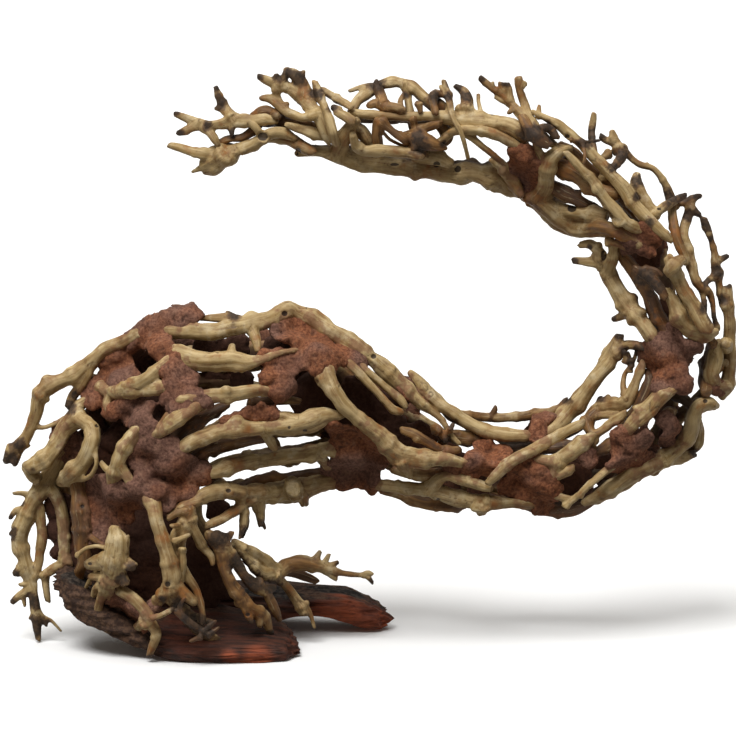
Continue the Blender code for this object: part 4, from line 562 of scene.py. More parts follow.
# Thin roots, stubs and dark inner pieces that lie loose on the bundle, each a piece of its own.
LOOSE = {
    "inner_strand": ("front", 3, (
        ((-14, 168, 2.2), (-8, 162, 2.4), (-2, 156, 2.5), (4, 150, 2.4), (9, 144, 2.3), (13, 139.5, 2.6),
         (18, 138.5, 2.2)),
    )),
    "splint": ("front", 2, (
        ((-6, 166, 2), (-1, 160, 2.5), (5, 155, 2.5), (11, 150, 2.6), (17, 145, 2.6), (20, 141, 2)),
    )),
    "grey_strand": ("front", 5, (
        ((18, 129, 2.6), (24, 127, 2.8), (30, 123, 2.8), (36, 119.5, 2.6), (41, 117, 2.4)),
        ((26, 124, 2), (31, 121.5, 2), (34, 121, 1.8)), ((42, 117, 2.4), (46, 117, 2.4), (50, 118, 2.5)),
    )),
    "trunk_knobs": ("front", 4, (
        ((37, 129, 2.2), (40, 126.5, 2.4), (42, 122.5, 2.2)), ((44, 128, 1.6), (46, 132, 1.6)),
    )),
    "stump_stub": ("front", 7, (((-124, 116, 4, -5), (-124, 116.5, 4, 0), (-124, 117, 3.8, 5)),)),
    "stump_chip": ("front", 5, (((-104, 86, 1.8), (-97, 88, 2.2), (-92, 90, 1.8)),)),
    "hairpin": ("front", 9, (
        ((101, 94, 2), (107, 91, 2.2), (112, 90.5, 2)),
        ((108, 87, 1.6), (113, 91, 1.8), (119, 97, 1.8), (125, 102, 2), (131, 107, 2.2), (135, 109, 1.8)),
        ((116, 92, 1.5), (121, 98, 1.5)),
    )),
    "low_strand": ("front", 7, (((98, 102, 3), (106, 105, 3), (112, 108, 3)),)),
    "bend_chip": ("front", 8, (
        ((146, 113, 2.2), (147, 118, 2.6), (147, 122, 1.5)), ((135, 111, 2), (139, 113, 2)),
    )),
    "bend_stub": ("front", 2, (
        ((164, 133, 3.6, -4), (164, 133, 3.4, 4)), ((165, 138, 2.6, -3), (165, 138.5, 2.5, 4)),
    )),
    "rim_stub": ("front", 1, (
        ((195, 165, 2.6, -2), (195, 165.5, 2.5, 6)), ((196, 175, 3.4, -2), (196, 175.5, 3.3, 5)),
    )),
    "ribbon": ("front", 9, (
        ((145, 218, 2), (150, 215, 3), (155, 211, 3.4), (159, 206, 3.4), (162, 201, 2.6)),
        ((151, 217, 1.6), (157, 216, 1.6), (160, 213, 1.3)),
    )),
    "stub_block": ("front", 10, (((170, 222, 3.8), (166, 219, 3.8), (162, 215, 3.6)),)),
    "crown_spike": ("front", 0, (
        ((123, 302, 1.6), (122.5, 297, 2), (122, 290, 2.2), (123, 283, 2.2), (124, 277, 1.8)),
    )),
    "crown_knobs": ("front", 9, (
        ((84, 300, 3.2), (87, 292, 3.8), (92, 287, 3.8), (98, 284, 3.2)),
        ((93, 292, 2.2), (97, 294, 2.6), (100, 292, 2.6), (102, 288, 2.4)),
        ((110, 287, 1.4), (118, 286, 1), (126, 287, 0.9)), ((116, 286, 1.2), (118, 278, 1), (117, 274, 1)),
    )),
    "arm_splinter": ("front", 9, (
        ((66, 276, 1.8), (72, 272, 2.4), (77, 266, 3.6), (81, 261, 3.8), (84, 257, 2.6)),
    )),
    "arm_curl": ("front", 9, (
        ((-9, 290, 2.6), (-8, 284, 3.2), (-3, 280.5, 3.4), (5, 281, 3.6), (14, 281, 3.6), (22, 280, 3.4),
         (29, 277.5, 2.6)),
    )),
    "arm_middle": ("front", 6, (
        ((44, 291, 2.6), (52, 293, 3), (62, 292, 3.4), (72, 288.5, 3.4), (80, 284, 3.2), (85, 280, 2.5)),
    )),
    "arm_claw": ("front", 5, (
        ((36, 301, 2.2), (35.5, 307, 2.2), (36, 312, 2.6), (41, 312, 2), (44, 309, 1.8)),
    )),
    "cross_twig": ("front", 12, (
        ((39, 317, 1.2), (43, 309, 1.6), (45, 303, 1.8), (46.5, 298, 1.6), (49.5, 292, 1.5),
         (51.5, 286, 1.4), (54, 277, 1.3)),
    )),
    "arm_knob": ("front", 5, (
        ((0, 306, 2.4), (3, 308, 2.4), (8, 306, 3), (14, 305, 2.8), (19, 303, 2.2)),
        ((18, 303, 1.8), (17, 308, 1.6), (19, 313, 1.3)),
        ((8, 306, 2.6), (6, 312, 2.8), (4, 317, 2.8), (4, 320, 1.4)),
    )),
    "arm_post": ("front", 4, (
        ((5, 298, 3), (4, 291, 3.2), (5, 285, 3.2)),
        ((7, 297, 2.4), (13, 292, 2.6), (19, 288, 2.6), (24, 284, 2.4)),
        ((6, 293, 1.1), (11, 287, 1.1), (20, 283, 1.1)), ((17, 291, 0.9), (22, 285, 0.9)),
        ((27, 307, 1.6), (28, 302, 1.6)),
    )),
    "long_twig": ("front", 6, (
        ((51, 291, 1.8), (57, 288, 2), (63, 283, 1.8), (70, 277, 1.8), (77, 271, 1.6)),
        ((56, 293, 1.5), (58, 287, 1.8)),
    )),
    "tip_arch": ("front", -2, (
        ((-82, 286, 2), (-76, 288.5, 2.4), (-69, 288.5, 2.6), (-64, 292, 3), (-60, 296, 3)),
    )),
    "tip_dome": ("front", 2, (
        ((-64, 300, 3), (-57, 302, 4.4), (-50, 301, 3.6)), ((-51, 301, 2.6), (-51, 301, 2.4, 6)),
    )),
    "tip_side": ("front", 7, (
        ((-30, 319, 2.2), (-28, 313, 2.8), (-25, 306, 2.8), (-22, 298, 2.8), (-20, 291, 3), (-18, 285, 3)),
    )),
    "tip_inner": ("front", 4, (((-45, 296, 2.2), (-38, 293.5, 3), (-31, 291.5, 3.4), (-24, 289, 3)),)),
    "tip_stub": ("front", 8, (
        ((-18, 303, 2.8), (-13, 300, 3.2), (-9, 296.5, 3.6)), ((-16, 303, 1.8), (-20, 305, 2)),
    )),
    "arm_lump": ("front", 2, (
        ((19, 289.5, 2.6), (25, 288.5, 4.6), (31, 286, 4.6), (37, 284, 3.2), (42, 282.5, 1.6)),
        ((24, 299, 2.4), (25, 294, 2.2), (27, 289, 3)), ((24, 284, 3.2), (28, 280, 3), (31, 278.5, 2)),
        ((28, 293, 1.8), (33, 294.5, 2.4), (39, 296, 2.4)), ((33, 287, 1.6), (34, 289, 1.2)),
    )),
    "arm_shoulder": ("front", 6, (((24, 277.5, 3), (31, 278, 4), (38, 277.5, 4.2), (45, 274.5, 3.2)),)),
    "arm_wedge": ("front", 0, (((36, 296.5, 2.6), (41, 293, 4.4), (43, 288.5, 4.2), (41, 284.5, 2)),)),
    "crown_rib": ("front", -3, (
        ((98, 276, 4.6), (104, 273, 5.2), (111, 269.5, 5), (117, 264.5, 4.8), (124, 260.5, 4.4),
         (132, 258, 4.4), (141, 256, 4.6), (150, 252, 3.6)),
    )),
    "crown_bark": ("front", -2, (
        ((99, 263, 4), (106, 258, 4.2), (114, 254.5, 3.8), (122, 251, 3.2), (128, 247, 2.6)),
        ((108, 258, 2.2), (116, 258.5, 1.8)),
    )),
    "rim_bark": ("front", -2, (
        ((188, 177, 3.6), (189, 170, 5), (188, 163, 5.8), (186, 156, 5.4), (184, 149, 3.6)),
    )),
    "bend_filler": ("front", -6, (
        ((70, 118, 3), (84, 118, 3.4), (96, 118.5, 4), (106, 119, 4), (113, 121, 3)),
    )),
    "waist_filler": ("front", -4, (
        ((42, 126, 3.4), (50, 124.5, 3.8), (58, 123.5, 3.6), (66, 121, 3)),
        ((58, 124, 2.6), (62, 126.5, 2.8), (65, 125, 2.4)),
    )),
    "waist_stub": ("front", 1, (((35, 129, 3, -3), (37, 129, 3.4, 2), (38, 129, 3, 5)),)),
    "belly": ("front", 1, (
        ((13, 106.5, 2.4), (20, 105.5, 3.6), (28, 104, 4.6), (36, 104, 4), (41, 106, 2.6)),
    )),
    "belly_bark": ("front", -3, (
        ((6, 95.5, 2.4), (14, 93.5, 3), (24, 90.5, 3.6), (33, 87.8, 4), (43, 87.2, 4), (53, 88.5, 3.2)),
        ((84, 89, 3), (92, 86, 3.4), (101, 84.5, 4), (110, 84.3, 4.2), (118, 87, 3.6), (126, 91.5, 2.8)),
    )),
    # keel_shadow, band_shadow and pointed_shadow are dark roots set behind the front ones where the bundle
    # lies in shade: their dark brown is painted shade.
    "keel_shadow": ("front", -8, (
        ((-76, 95, 3), (-66, 98.5, 3.6), (-56, 101, 4), (-46, 100.5, 3.8), (-36, 103, 3.6),
         (-27, 104.5, 3.6), (-18, 104, 3)),
    )),
    "band_shadow": ("front", -9, (
        ((-107, 124, 3.6), (-99, 130, 4.4), (-91, 136, 4.2), (-83, 140, 3.2), (-77, 142.5, 2.2)),
        ((-65, 144, 2.4), (-56, 144.5, 3), (-46, 145, 2.6), (-38, 144, 2.4)),
    )),
    "pointed_shadow": ("front", -6, (
        ((-98, 112, 4), (-88, 117.5, 4.6), (-78, 120.5, 4.2), (-68, 122.5, 3.8), (-58, 124, 3.2),
         (-52, 123, 2.4)),
    )),
    "foot_splints": ("front", 9, (
        ((-108, 76.5, 1.6), (-103, 76, 2), (-98, 74, 1.6)), ((-106, 68, 1.8), (-98, 71.5, 1.5)),
        ((-102, 64, 1.7), (-101, 54, 2), (-103, 44, 1.8), (-104, 38, 1.4)),
        ((-106, 48, 2.2), (-102, 41, 2.4), (-98, 35, 1.8)),
        ((-119, 26, 1.5), (-113, 28, 1.7), (-107, 31.5, 1.5)),
    )),
    "charred_splints": ("front", 14, (
        ((-106, 30, 1.7), (-102, 27, 2.2), (-98, 23.5, 2.2), (-92, 19.5, 1.8)),
        ((-91, 18, 1.6), (-87, 22, 1.5), (-84, 24.5, 1.1)), ((-92, 15.5, 1.5), (-98, 13, 1.2)),
        ((-88, 16, 1.4), (-82, 20.5, 1.1)), ((-102, 26, 1.7), (-104, 33, 1.5), (-101, 37, 1.1)),
    )),
    "curl_hairs": ("front", 12, (
        ((-149, 53, 1.5), (-154, 45, 1.4), (-158, 38.5, 1.1)),
        ((-160, 60, 1.3), (-155, 64.5, 1.3), (-149, 65.5, 1.3), (-143, 63.5, 1.5)),
    )),
    "tip_bridge": ("front", 5, (
        ((-60, 287.5, 3.2), (-52, 288.5, 3.6), (-44, 287.5, 3.8), (-37, 284, 4.2), (-31, 281, 4)),
    )),
    "tip_heart": ("front", -2, (
        ((-62, 297, 3.2), (-52, 297.5, 3.6), (-42, 296.5, 3.6), (-32, 295, 3.4), (-24, 292, 3.2)),
    )),
    "arm_heart": ("front", 0, (((-9, 295, 3.2), (-4, 292, 4.6), (-1, 288, 4.2), (1, 284, 3)),)),
    "slab_stub": ("front", -4, (((-51, 50, 2.6), (-44, 50, 3), (-36, 47.5, 2.8), (-29, 44.5, 2.4)),)),
    "elbow": ("front", 6, (((-189, 108, 4.2), (-186, 104.5, 4.8), (-182, 101.5, 4.8)),)),
    "rim_chips": ("front", -2, (
        ((179, 135, 3.4), (182.5, 128, 3.2), (181.5, 121, 3), (177, 116, 2.4)),
        ((169, 148, 3), (174, 144.5, 3.2), (178, 140, 2.8)),
    )),
    "back_column": ("back", 2, (
        ((-150, 120, 4.2), (-148, 100, 4.6), (-143, 80, 4.8), (-140, 60, 4.6), (-136, 44, 4.2),
         (-134, 31, 4)),
        ((-142, 76, 3.2), (-152, 60, 3), (-158, 46, 2.8), (-156, 32, 2.6)),
    )),
    "back_leg": ("back", 1, (
        ((-112, 112, 4.4), (-110, 92, 4.8), (-104, 72, 5), (-98, 54, 4.6), (-94, 40, 4.4), (-90, 30, 4)),
        ((-103, 70, 3.2), (-112, 54, 3.2), (-118, 40, 3), (-116, 30, 2.8)),
        ((-98, 56, 2.8), (-86, 46, 2.6), (-76, 38, 2.4), (-68, 31, 2.2)),
    )),
    "back_claw": ("back", 3, (
        ((-168, 116, 4.2), (-170, 100, 4.2), (-166, 84, 4), (-168, 66, 3.6), (-164, 50, 3.2),
         (-166, 38, 2.6)),
    )),
    "arm_back": ("back", 1, (
        ((94, 268, 4.2), (86, 281, 4.6), (76, 291, 4.6), (60, 297, 4.5), (42, 299, 4), (22, 300, 3.6),
         (4, 300.5, 3.2), (-10, 300, 2.6)),
    )),
    "arm_back_low": ("back", 0, (
        ((-30, 282, 3.4), (-12, 279, 4.6), (8, 275, 4.8), (30, 272, 5.2), (52, 271, 5.4), (70, 267, 4.8),
         (84, 259, 4), (94, 253, 3.6)),
    )),
}

# Roots on the hidden side that follow a root of the front: name of the front root, shift, lift.
MIRRORED = (
    ("upper_band_root", 2, 1), ("middle_band_root", -1.5, 2), ("splinter_band_root", 1, 4),
    ("pointed_root", 1.5, 2), ("lower_band_root", -1, 3), ("keel_root", 0.5, 1), ("flared_root", -2, 2),
    ("long_peeled_root", 1, 1), ("keel_middle_root", -0.5, 2), ("diagonal_root", 1, 4),
    ("amber_root", -1, 3), ("sweep_root", 0.5, 1), ("splinter_fork_root", 2, 4), ("rosette_root", 1.5, 3),
    ("second_straight_root", -1, 2), ("under_bend_root", 1, 0), ("tall_branch_root", -1, 1),
)

# Paste, by the side of the bundle: across, up, reach. "inside" fills the middle of the bundle.
PASTE = {
    "stump_paste": {
        "front": (
            (-121, 182, 9), (-114, 176, 6), (-129, 179, 5), (-105, 189, 8), (-97, 192, 5), (-113, 190, 5),
            (-139, 165, 8), (-133, 159, 7), (-142, 157, 6), (-138, 170, 5), (-108, 165, 7), (-103, 158, 7),
            (-97, 156, 4), (-115, 172, 4), (-148, 147, 4), (-131, 143, 8), (-126, 137, 8), (-121, 130, 6),
            (-137, 141, 4), (-106, 149, 7), (-99, 147, 6), (-92, 147, 4), (-101, 141, 4), (-112, 118, 8),
            (-107, 110, 10), (-99, 106, 8), (-92, 107, 5), (-116, 106, 8), (-103, 99, 6), (-121, 103, 7),
            (-168, 124, 6), (-163, 119, 6), (-170, 129, 4), (-166, 114, 4), (-146, 94, 9), (-134, 92, 9),
            (-125, 93, 8), (-145, 84, 8), (-136, 84, 7), (-119, 98, 6), (-150, 76, 6), (-141, 76, 5),
            (-149, 69, 5), (-107, 97, 7), (-99, 96, 5), (-112, 91, 6), (-152, 143, 3.5), (-130, 118, 4),
            (-125, 110, 5), (-131, 31, 6), (-140, 36, 5), (-123, 26, 5),
        ),
        "back": (
            (-135, 161, 10), (-124, 173, 10), (-130, 140, 13), (-112, 152, 12), (-118, 112, 13),
            (-104, 104, 11), (-138, 92, 13), (-118, 92, 12), (-128, 60, 14), (-106, 62, 12), (-92, 172, 9),
            (-84, 156, 9), (-128, 128, 11), (-150, 122, 10), (-148, 60, 10), (-120, 75, 12), (-142, 76, 11),
            (-162, 110, 8), (-118, 140, 11), (-104, 176, 8), (-134, 152, 11), (-108, 130, 9),
        ),
        "inside": (
            (-118, 50, 22), (-98, 52, 18), (-138, 56, 18), (-122, 72, 17), (-152, 45, 13), (-90, 44, 14),
            (-125, 145, 16), (-112, 125, 12), (-88, 176, 8), (-150, 88, 14), (-160, 60, 12), (-150, 108, 12),
            (-132, 120, 14), (-72, 175, 6), (-172, 86, 7), (-171, 73, 7), (-169, 61, 6), (-84, 86, 6),
            (-128, 107, 9), (-151, 136, 6),
        ),
    },
    "trunk_paste": {
        "front": (
            (-45, 184, 7), (-36, 184, 7), (-29, 180, 6), (-24, 173, 5), (-38, 177, 5), (-50, 183, 4),
            (-53, 167, 6), (-46, 163, 8), (-38, 168, 7), (-55, 158, 5), (-46, 153, 6), (-31, 170, 6),
            (-22, 167, 5), (-15, 171, 6), (-6, 168, 6), (-66, 137.5, 3.5), (-59, 138, 4.5),
            (-52, 137.5, 3.5), (-72, 135.5, 3), (-78, 134, 2.5), (-14, 126, 6), (-7, 121, 9), (0, 120, 8),
            (2, 128, 4), (-9, 110, 10), (0, 106, 6), (-14, 103, 6.5), (-5, 102, 5), (6, 112, 5),
            (-19, 130, 4), (19, 153, 4), (24, 148, 4), (28, 144, 3),
        ),
        "back": (
            (-44, 168, 12), (-30, 152, 12), (-12, 130, 13), (-8, 110, 12), (-58, 138, 7), (-26, 160, 11),
            (-60, 174, 9), (-18, 146, 9), (8, 150, 9), (18, 136, 9), (-50, 156, 8),
        ),
        "inside": (
            (-32, 148, 12), (-14, 136, 12), (8, 140, 9), (18, 150, 7), (-50, 172, 8), (12, 130, 8),
            (22, 125, 7), (-6, 150, 8), (-70, 157, 6), (-50, 158, 8),
        ),
    },
    "middle_paste": {
        "front": (
            (65, 116, 7), (60, 112, 6), (68, 110, 6), (73, 115, 5), (57, 106, 4), (46, 107, 4), (64, 120, 4),
            (54, 109, 4), (43, 111, 3), (84, 104, 8), (89, 99, 8), (80, 98, 6), (92, 106, 6), (93, 92, 5),
            (86, 93, 5), (75, 97, 4), (101, 97, 4), (97, 87, 4), (94, 134, 4), (99, 136, 3), (92, 129, 4),
        ),
        "back": ((70, 110, 10), (88, 101, 10), (50, 106, 8), (34, 112, 9), (92, 128, 6), (108, 98, 9)),
        "inside": (
            (44, 94, 7), (60, 92, 6), (104, 90, 7), (114, 100, 9), (46, 112, 8), (28, 124, 8), (98, 104, 9),
            (64, 103, 6),
        ),
    },
    "bend_paste": {
        "front": (
            (118, 116, 5), (121, 112, 4), (116, 120, 4), (140, 118, 6), (143, 110, 6), (151, 124, 5),
            (154, 112, 5), (148, 107, 4), (137, 123, 4), (150, 134, 3), (164, 123, 4.5), (168, 130, 3),
            (158, 168, 6), (164, 172, 8), (171, 168, 6), (167, 160, 7), (161, 160, 6), (168, 154, 5),
            (174, 174, 5), (165, 180, 6), (158, 176, 4), (174, 154, 3), (180, 174, 3), (192, 151, 4),
        ),
        "back": ((164, 168, 10), (150, 118, 10), (164, 140, 7), (132, 106, 8), (164, 190, 7)),
        "inside": ((168, 126, 8), (166, 195, 6), (160, 186, 6), (156, 147, 5), (119, 112, 6), (150, 112, 7)),
    },
    "crown_paste": {
        "front": (
            (152, 239, 5), (149, 233, 6), (155, 234, 5), (143, 231, 5), (153, 227, 3.5), (138, 234, 3),
            (84, 276, 6), (86, 269, 6), (90, 262, 4), (80, 281, 3.5), (92, 272, 4),
        ),
        "back": ((156, 232, 8), (150, 222, 8), (88, 272, 8)),
        "inside": ((90, 264, 5), (154, 224, 7), (149, 219, 5)),
    },
}

# How red each lump of paste is, from 0, mauve-brown, to 1, brick.
RED = {"stump_paste": 0.3, "trunk_paste": 0.45, "middle_paste": 0.75, "bend_paste": 0.25,
       "crown_paste": 0.65}

# Charred places: across, up, reach.
CHARRED = (
    (-193, 120, 6), (-201, 111, 8), (-196, 112, 7), (-165, 141, 6), (-162, 148, 4), (-185, 34, 7),
    (-184, 20, 9), (-198, 80, 4), (-197, 71, 5), (-195, 49, 4), (-197, 33, 5), (-178, 21, 4), (-191, 88, 2),
    (-130, 53, 5), (-135, 47, 5), (-82, 70, 9), (-72, 55, 8), (-64, 45, 9), (-53, 42, 7), (-105, 33, 6),
    (-98, 24, 9), (-90, 20, 9), (-81, 12, 6), (-60, 76, 5), (-69, 72, 5), (109, 146, 4), (138, 181, 5),
    (152, 173, 6), (127, 147, 4), (144, 166, 5), (147, 172, 4), (140, 172, 4), (46, 131, 4), (42, 123, 4),
    (179, 116, 4), (197, 208, 3), (112, 221, 3.5), (134, 190, 3.5), (181, 248, 6), (180, 257, 4),
    (185, 242, 6), (191, 216, 6), (197, 224, 5), (184, 196, 6), (194, 200, 5), (165, 256, 7), (138, 279, 7),
    (127, 290, 4), (134, 272, 5), (147, 265, 5), (173, 257, 6), (146, 256, 3), (54, 311, 6), (48, 317, 5),
    (36, 311, 6), (43, 311, 4), (4, 318, 7), (27, 288, 6), (28, 283, 7), (60, 321, 5), (75, 318, 4),
    (91, 291, 7), (97, 293, 6), (-104, 291, 4), (-82, 308, 6), (-83, 316, 4), (-88, 295, 4), (-75, 291, 4),
    (-44, 323, 6), (-38, 321, 6), (-60, 322, 3), (-50, 322, 4), (-29, 312, 5), (-20, 305, 4), (-106, 302, 3),
    (-74, 192, 5), (-120, 4, 3), (-91, 25, 4), (-142, 18, 3), (-54, 16, 4), (-65, 22, 4), (2, 45, 3),
    (-16, 55, 3), (150, 212, 9), (157, 206, 8), (124, 290, 8), (86, 290, 7), (118, 286, 6), (20, 312, 3),
    (44, 318, 3), (101, 289, 5), (121, 229, 2), (189, 190, 5), (185, 210, 4), (40, 285, 3), (153, 242, 4),
    (175, 246, 5), (187, 233, 4), (-147, 21, 4), (-113, 36, 3),
)

# Holes and dark cracks of the front, sunk and painted with shade: across, up, half width, half height.
HOLES = (
    (-46.3, 192.5, 1.7, 1.5), (-43.6, 130.1, 0.8, 1), (-35, 128.5, 1.4, 0.8), (-149, 131, 1.3, 1),
    (-125, 166.2, 2.2, 0.9), (-77, 95.5, 1.5, 1.2), (184.5, 144.5, 1.4, 1.2), (111, 250, 2.6, 2.2),
    (48.5, 271.5, 2, 2), (-39, 281, 2, 2), (-58, 289, 3, 2.4), (37, 274, 2, 1.6), (14, 274, 2.6, 0.9),
    (108, 289, 1.6, 1.4), (-157.5, 86.8, 1.2, 1), (-147, 57.3, 1.2, 1.2), (-153, 55.3, 1.3, 0.9),
    (-66.5, 27.5, 1.4, 1.2), (128.5, 224.5, 1.6, 3.4), (67.5, 301.3, 1.6, 0.9), (158.5, 250, 1.2, 1.6),
    (-34, 196, 1, 1), (38, 90.5, 1, 0.8), (-110, 44.5, 1.6, 1.6), (2.5, 169, 1.6, 1.4), (-14, 196, 1, 1),
    (-172, 69.5, 0.6, 0.8),
)

# Slabs: (across, front depth, back depth, underside, front top, back top), in mm, left to right.
SLABS = {
    "front_slab": (
        (-172, -28, 0, 33, 45, 46), (-163, -34, 4, 20, 41, 45), (-150, -40, 6, 15, 32, 41),
        (-134, -44, 7, 9, 21, 33), (-118, -48, 8, 2.5, 13, 26), (-100, -52, 8, 0, 10, 22),
        (-80, -55, 8, 0, 10, 20), (-60, -53, 5, 0, 10, 17), (-47, -50, -2, 0, 9, 13),
        (-40, -45, -14, 0, 6, 9),
    ),
    "back_slab": (
        (-112, 13, 48, 0, 21, 22), (-90, 13, 57, 0, 23, 23), (-60, 14, 60, 3, 22, 22.5),
        (-45, 15, 60, 8.5, 21, 21.5), (-30, 15, 58, 10, 20, 20.5), (-15, 16, 54, 7, 19.8, 20.3),
        (-4, 18, 50, 2, 17, 17.5), (6, 20, 44, 0, 12.4, 13), (11, 24, 38, 2, 9, 9),
    ),
}

# How brown a root is, from 0, pale, to 1, dark brown. The others are MIDDLE_TONE.
MIDDLE_TONE = 0.30
TONES = {
    "stained_column_root": 0.62, "dark_edge_root": 0.9, "dark_column_root": 0.92, "brown_bridge_root": 0.68,
    "stump_leg_root": 0.55, "back_edge_root": 0.7, "front_column_root": 0.36, "ring_root": 0.4,
    "crook_root": 0.5, "hand_root": 0.42, "left_antler_root": 0.12, "y_root": 0.08,
    "splinter_fork_root": 0.12, "upper_band_root": 0.12, "crest_root": 0.28, "pointed_root": 0.3,
    "pale_knotty_root": 0.28, "long_straight_root": 0.12, "second_straight_root": 0.14,
    "fork_branch_root": 0.3, "tip_lower_root": 0.14, "tip_fan_root": 0.24, "arm_upper_root": 0.32,
    "arm_lower_root": 0.4, "amber_root": 0.5, "yellow_root": 0.3, "knobby_root": 0.42,
    "right_twig_root": 0.45, "crown_loop_root": 0.42, "knotted_spur_root": 0.5, "under_bend_root": 0.45,
    "crown_twig_root": 0.5, "arch_root": 0.45, "ribbon": 0.75, "grey_strand": 0.6, "trunk_knobs": 0.8,
    "crown_knobs": 0.7, "arm_claw": 0.7, "arm_knob": 0.55, "arm_post": 0.6, "tip_arch": 0.7, "tip_dome": 0.6,
    "stump_back_root": 0.55, "arm_back": 0.6, "arm_back_low": 0.55, "trunk_crest_back_root": 0.45,
    "trunk_back_root": 0.4, "bend_back_root": 0.45, "arm_lump": 0.82, "arm_shoulder": 0.4, "arm_wedge": 0.75,
    "crown_rib": 0.6, "crown_bark": 0.9, "rim_bark": 0.85, "bend_filler": 0.85, "waist_filler": 0.8,
    "waist_stub": 0.55, "belly": 0.62, "belly_bark": 0.97, "keel_shadow": 0.9, "band_shadow": 0.95,
    "pointed_shadow": 0.9, "back_column": 0.35, "tip_bridge": 0.2, "foot_splints": 0.3,
    "charred_splints": 0.85, "curl_hairs": 0.3, "tip_heart": 0.75, "arm_heart": 0.5, "slab_stub": 0.9,
    "elbow": 0.2, "rim_chips": 0.55, "back_leg": 0.3, "back_claw": 0.25,
}


# ---------------------------------------------------------------- routes

def run_of(points):
    """How far along a row of points each of them lies."""
    return np.concatenate([[0.0], np.cumsum(np.linalg.norm(np.diff(points, axis=0), axis=1))])


def spine_samples():
    """The middle line as closely spaced points: across, up, half width."""
    nodes = np.array(SPINE, float)
    run = run_of(nodes[:, :2])
    fine = np.linspace(0.0, run[-1], SPINE_SAMPLES)
    return np.stack([np.interp(fine, run, column) for column in nodes.T], axis=1)


def nearest_middle(across, up, spine):
    """How far places lie from the middle line, and its sample nearest to each."""
    away = np.hypot(across[:, None] - spine[None, :, 0], up[:, None] - spine[None, :, 1])
    nearest = away.argmin(axis=1)
    return away[np.arange(len(across)), nearest], spine[nearest]


def skin_depth(across, up, spine):
    """Depth of the bundle's skin: SKIN_DEPTH R (1 - (d/R)^2), and nothing outside it."""
    distance, middle = nearest_middle(across, up, spine)
    half = middle[:, 2]
    return SKIN_DEPTH * half * np.clip(1.0 - (distance / half) ** 2, 0.0, None)


def to_sight(up, y):
    """Depth along the sight line, at right angles to the drawing plane."""
    return y / math.cos(LEAN) - up * math.tan(LEAN)


def from_sight(up, depth):
    """The part's y for a depth along the sight line."""
    return (depth + up * math.tan(LEAN)) * math.cos(LEAN)


def in_place(across, up, w):
    """Drawing-plane points and depths along the sight line, as x, y, z in millimetres."""
    y = from_sight(up, w)
    z = (up - (y - FRONT_EDGE) * math.sin(LEAN)) / math.cos(LEAN)
    return np.stack([across, y + SHIFT_Y, z], axis=1)


def on_plane(points):
    """The reverse of in_place: across, up and depth along the sight line of points in mm."""
    y = points[:, 1] - SHIFT_Y
    up = points[:, 2] * math.cos(LEAN) + (y - FRONT_EDGE) * math.sin(LEAN)
    return points[:, 0], up, to_sight(up, y)


def place_strand(name, side, lift, route, spine, family):
    """One strand with its points and first depths. It starts at the depth of its nearest relative
    and leaves it over a length of FADE."""
    across, up, radius, forward = np.array([(*point, 0.0)[:4] for point in route], float).T
    depth = skin_depth(across, up, spine)
    y = depth + lift if side == "back" else -(depth + lift) - forward
    strand = {"name": name, "side": side, "uv": np.stack([across, up], 1), "r": radius,
              "w": to_sight(up, y), "parent": None}
    if family:
        strand["parent"] = nearest_on(family, across[0], up[0])
        gap = depth_at(*strand["parent"]) - strand["w"][0]
        strand["w"] = strand["w"] + gap * np.exp(-run_of(strand["uv"]) / FADE)
    strand["rest"] = strand["w"].copy()
    return strand


def place_root(name, side, lift, routes, spine):
    """The strands of a root, each of which grows from those before it."""
    family = []
    for route in routes:
        family.append(place_strand(name, side, lift, route, spine, family))
    return family


def lay_out(spine):
    """The strands of the frame's roots before they settle."""
    return [strand for name, root in ROOTS.items() for strand in place_root(name, *root, spine)]


def lay_out_loose(strands, spine):
    """The strands of the twigs, the loose roots and the hidden roots before they settle."""
    added = []
    for name, routes in TWIGS.items():
        side, lift = ROOTS[name][:2]
        family = [strand for strand in strands if strand["name"] == name]
        added += [place_strand(name, side, lift, route, spine, family) for route in routes]
    for name, root in LOOSE.items():
        added += place_root(name, *root, spine)
    for name, shift, lift in MIRRORED:
        routes = [[(point[0] + shift, point[1] - shift * DRIFT, point[2]) for point in route]
                  for route in ROOTS[name][2]]
        added += place_root(name.replace("_root", "_hidden"), "back", lift, routes, spine)
    return added


def nearest_on(family, across, up):
    """The strand that lies nearest to a point, its segment there, and the share along that."""
    best = (np.inf,)
    for strand in family:
        start = strand["uv"][:-1]
        step = strand["uv"][1:] - start
        length = np.maximum((step ** 2).sum(1), TINY)
        along = np.clip(((np.array([across, up]) - start) * step).sum(1) / length, 0.0, 1.0)
        away = np.hypot(*(start + step * along[:, None] - (across, up)).T)
        segment = away.argmin()
        if away[segment] < best[0]:
            best = (away[segment], strand, segment, along[segment])
    return best[1:]


def depth_at(strand, segment, along):
    """Depth of a strand at a place that nearest_on gave."""
    return strand["w"][segment] * (1 - along) + strand["w"][segment + 1] * along


def sample_weights(strand):
    """A matrix that turns a strand's points into samples every few millimetres."""
    run = run_of(strand["uv"])
    fine = np.linspace(0.0, run[-1], max(2, int(run[-1] / SAMPLE) + 1))
    return np.stack([np.interp(fine, run, column) for column in np.eye(len(run))], axis=1)


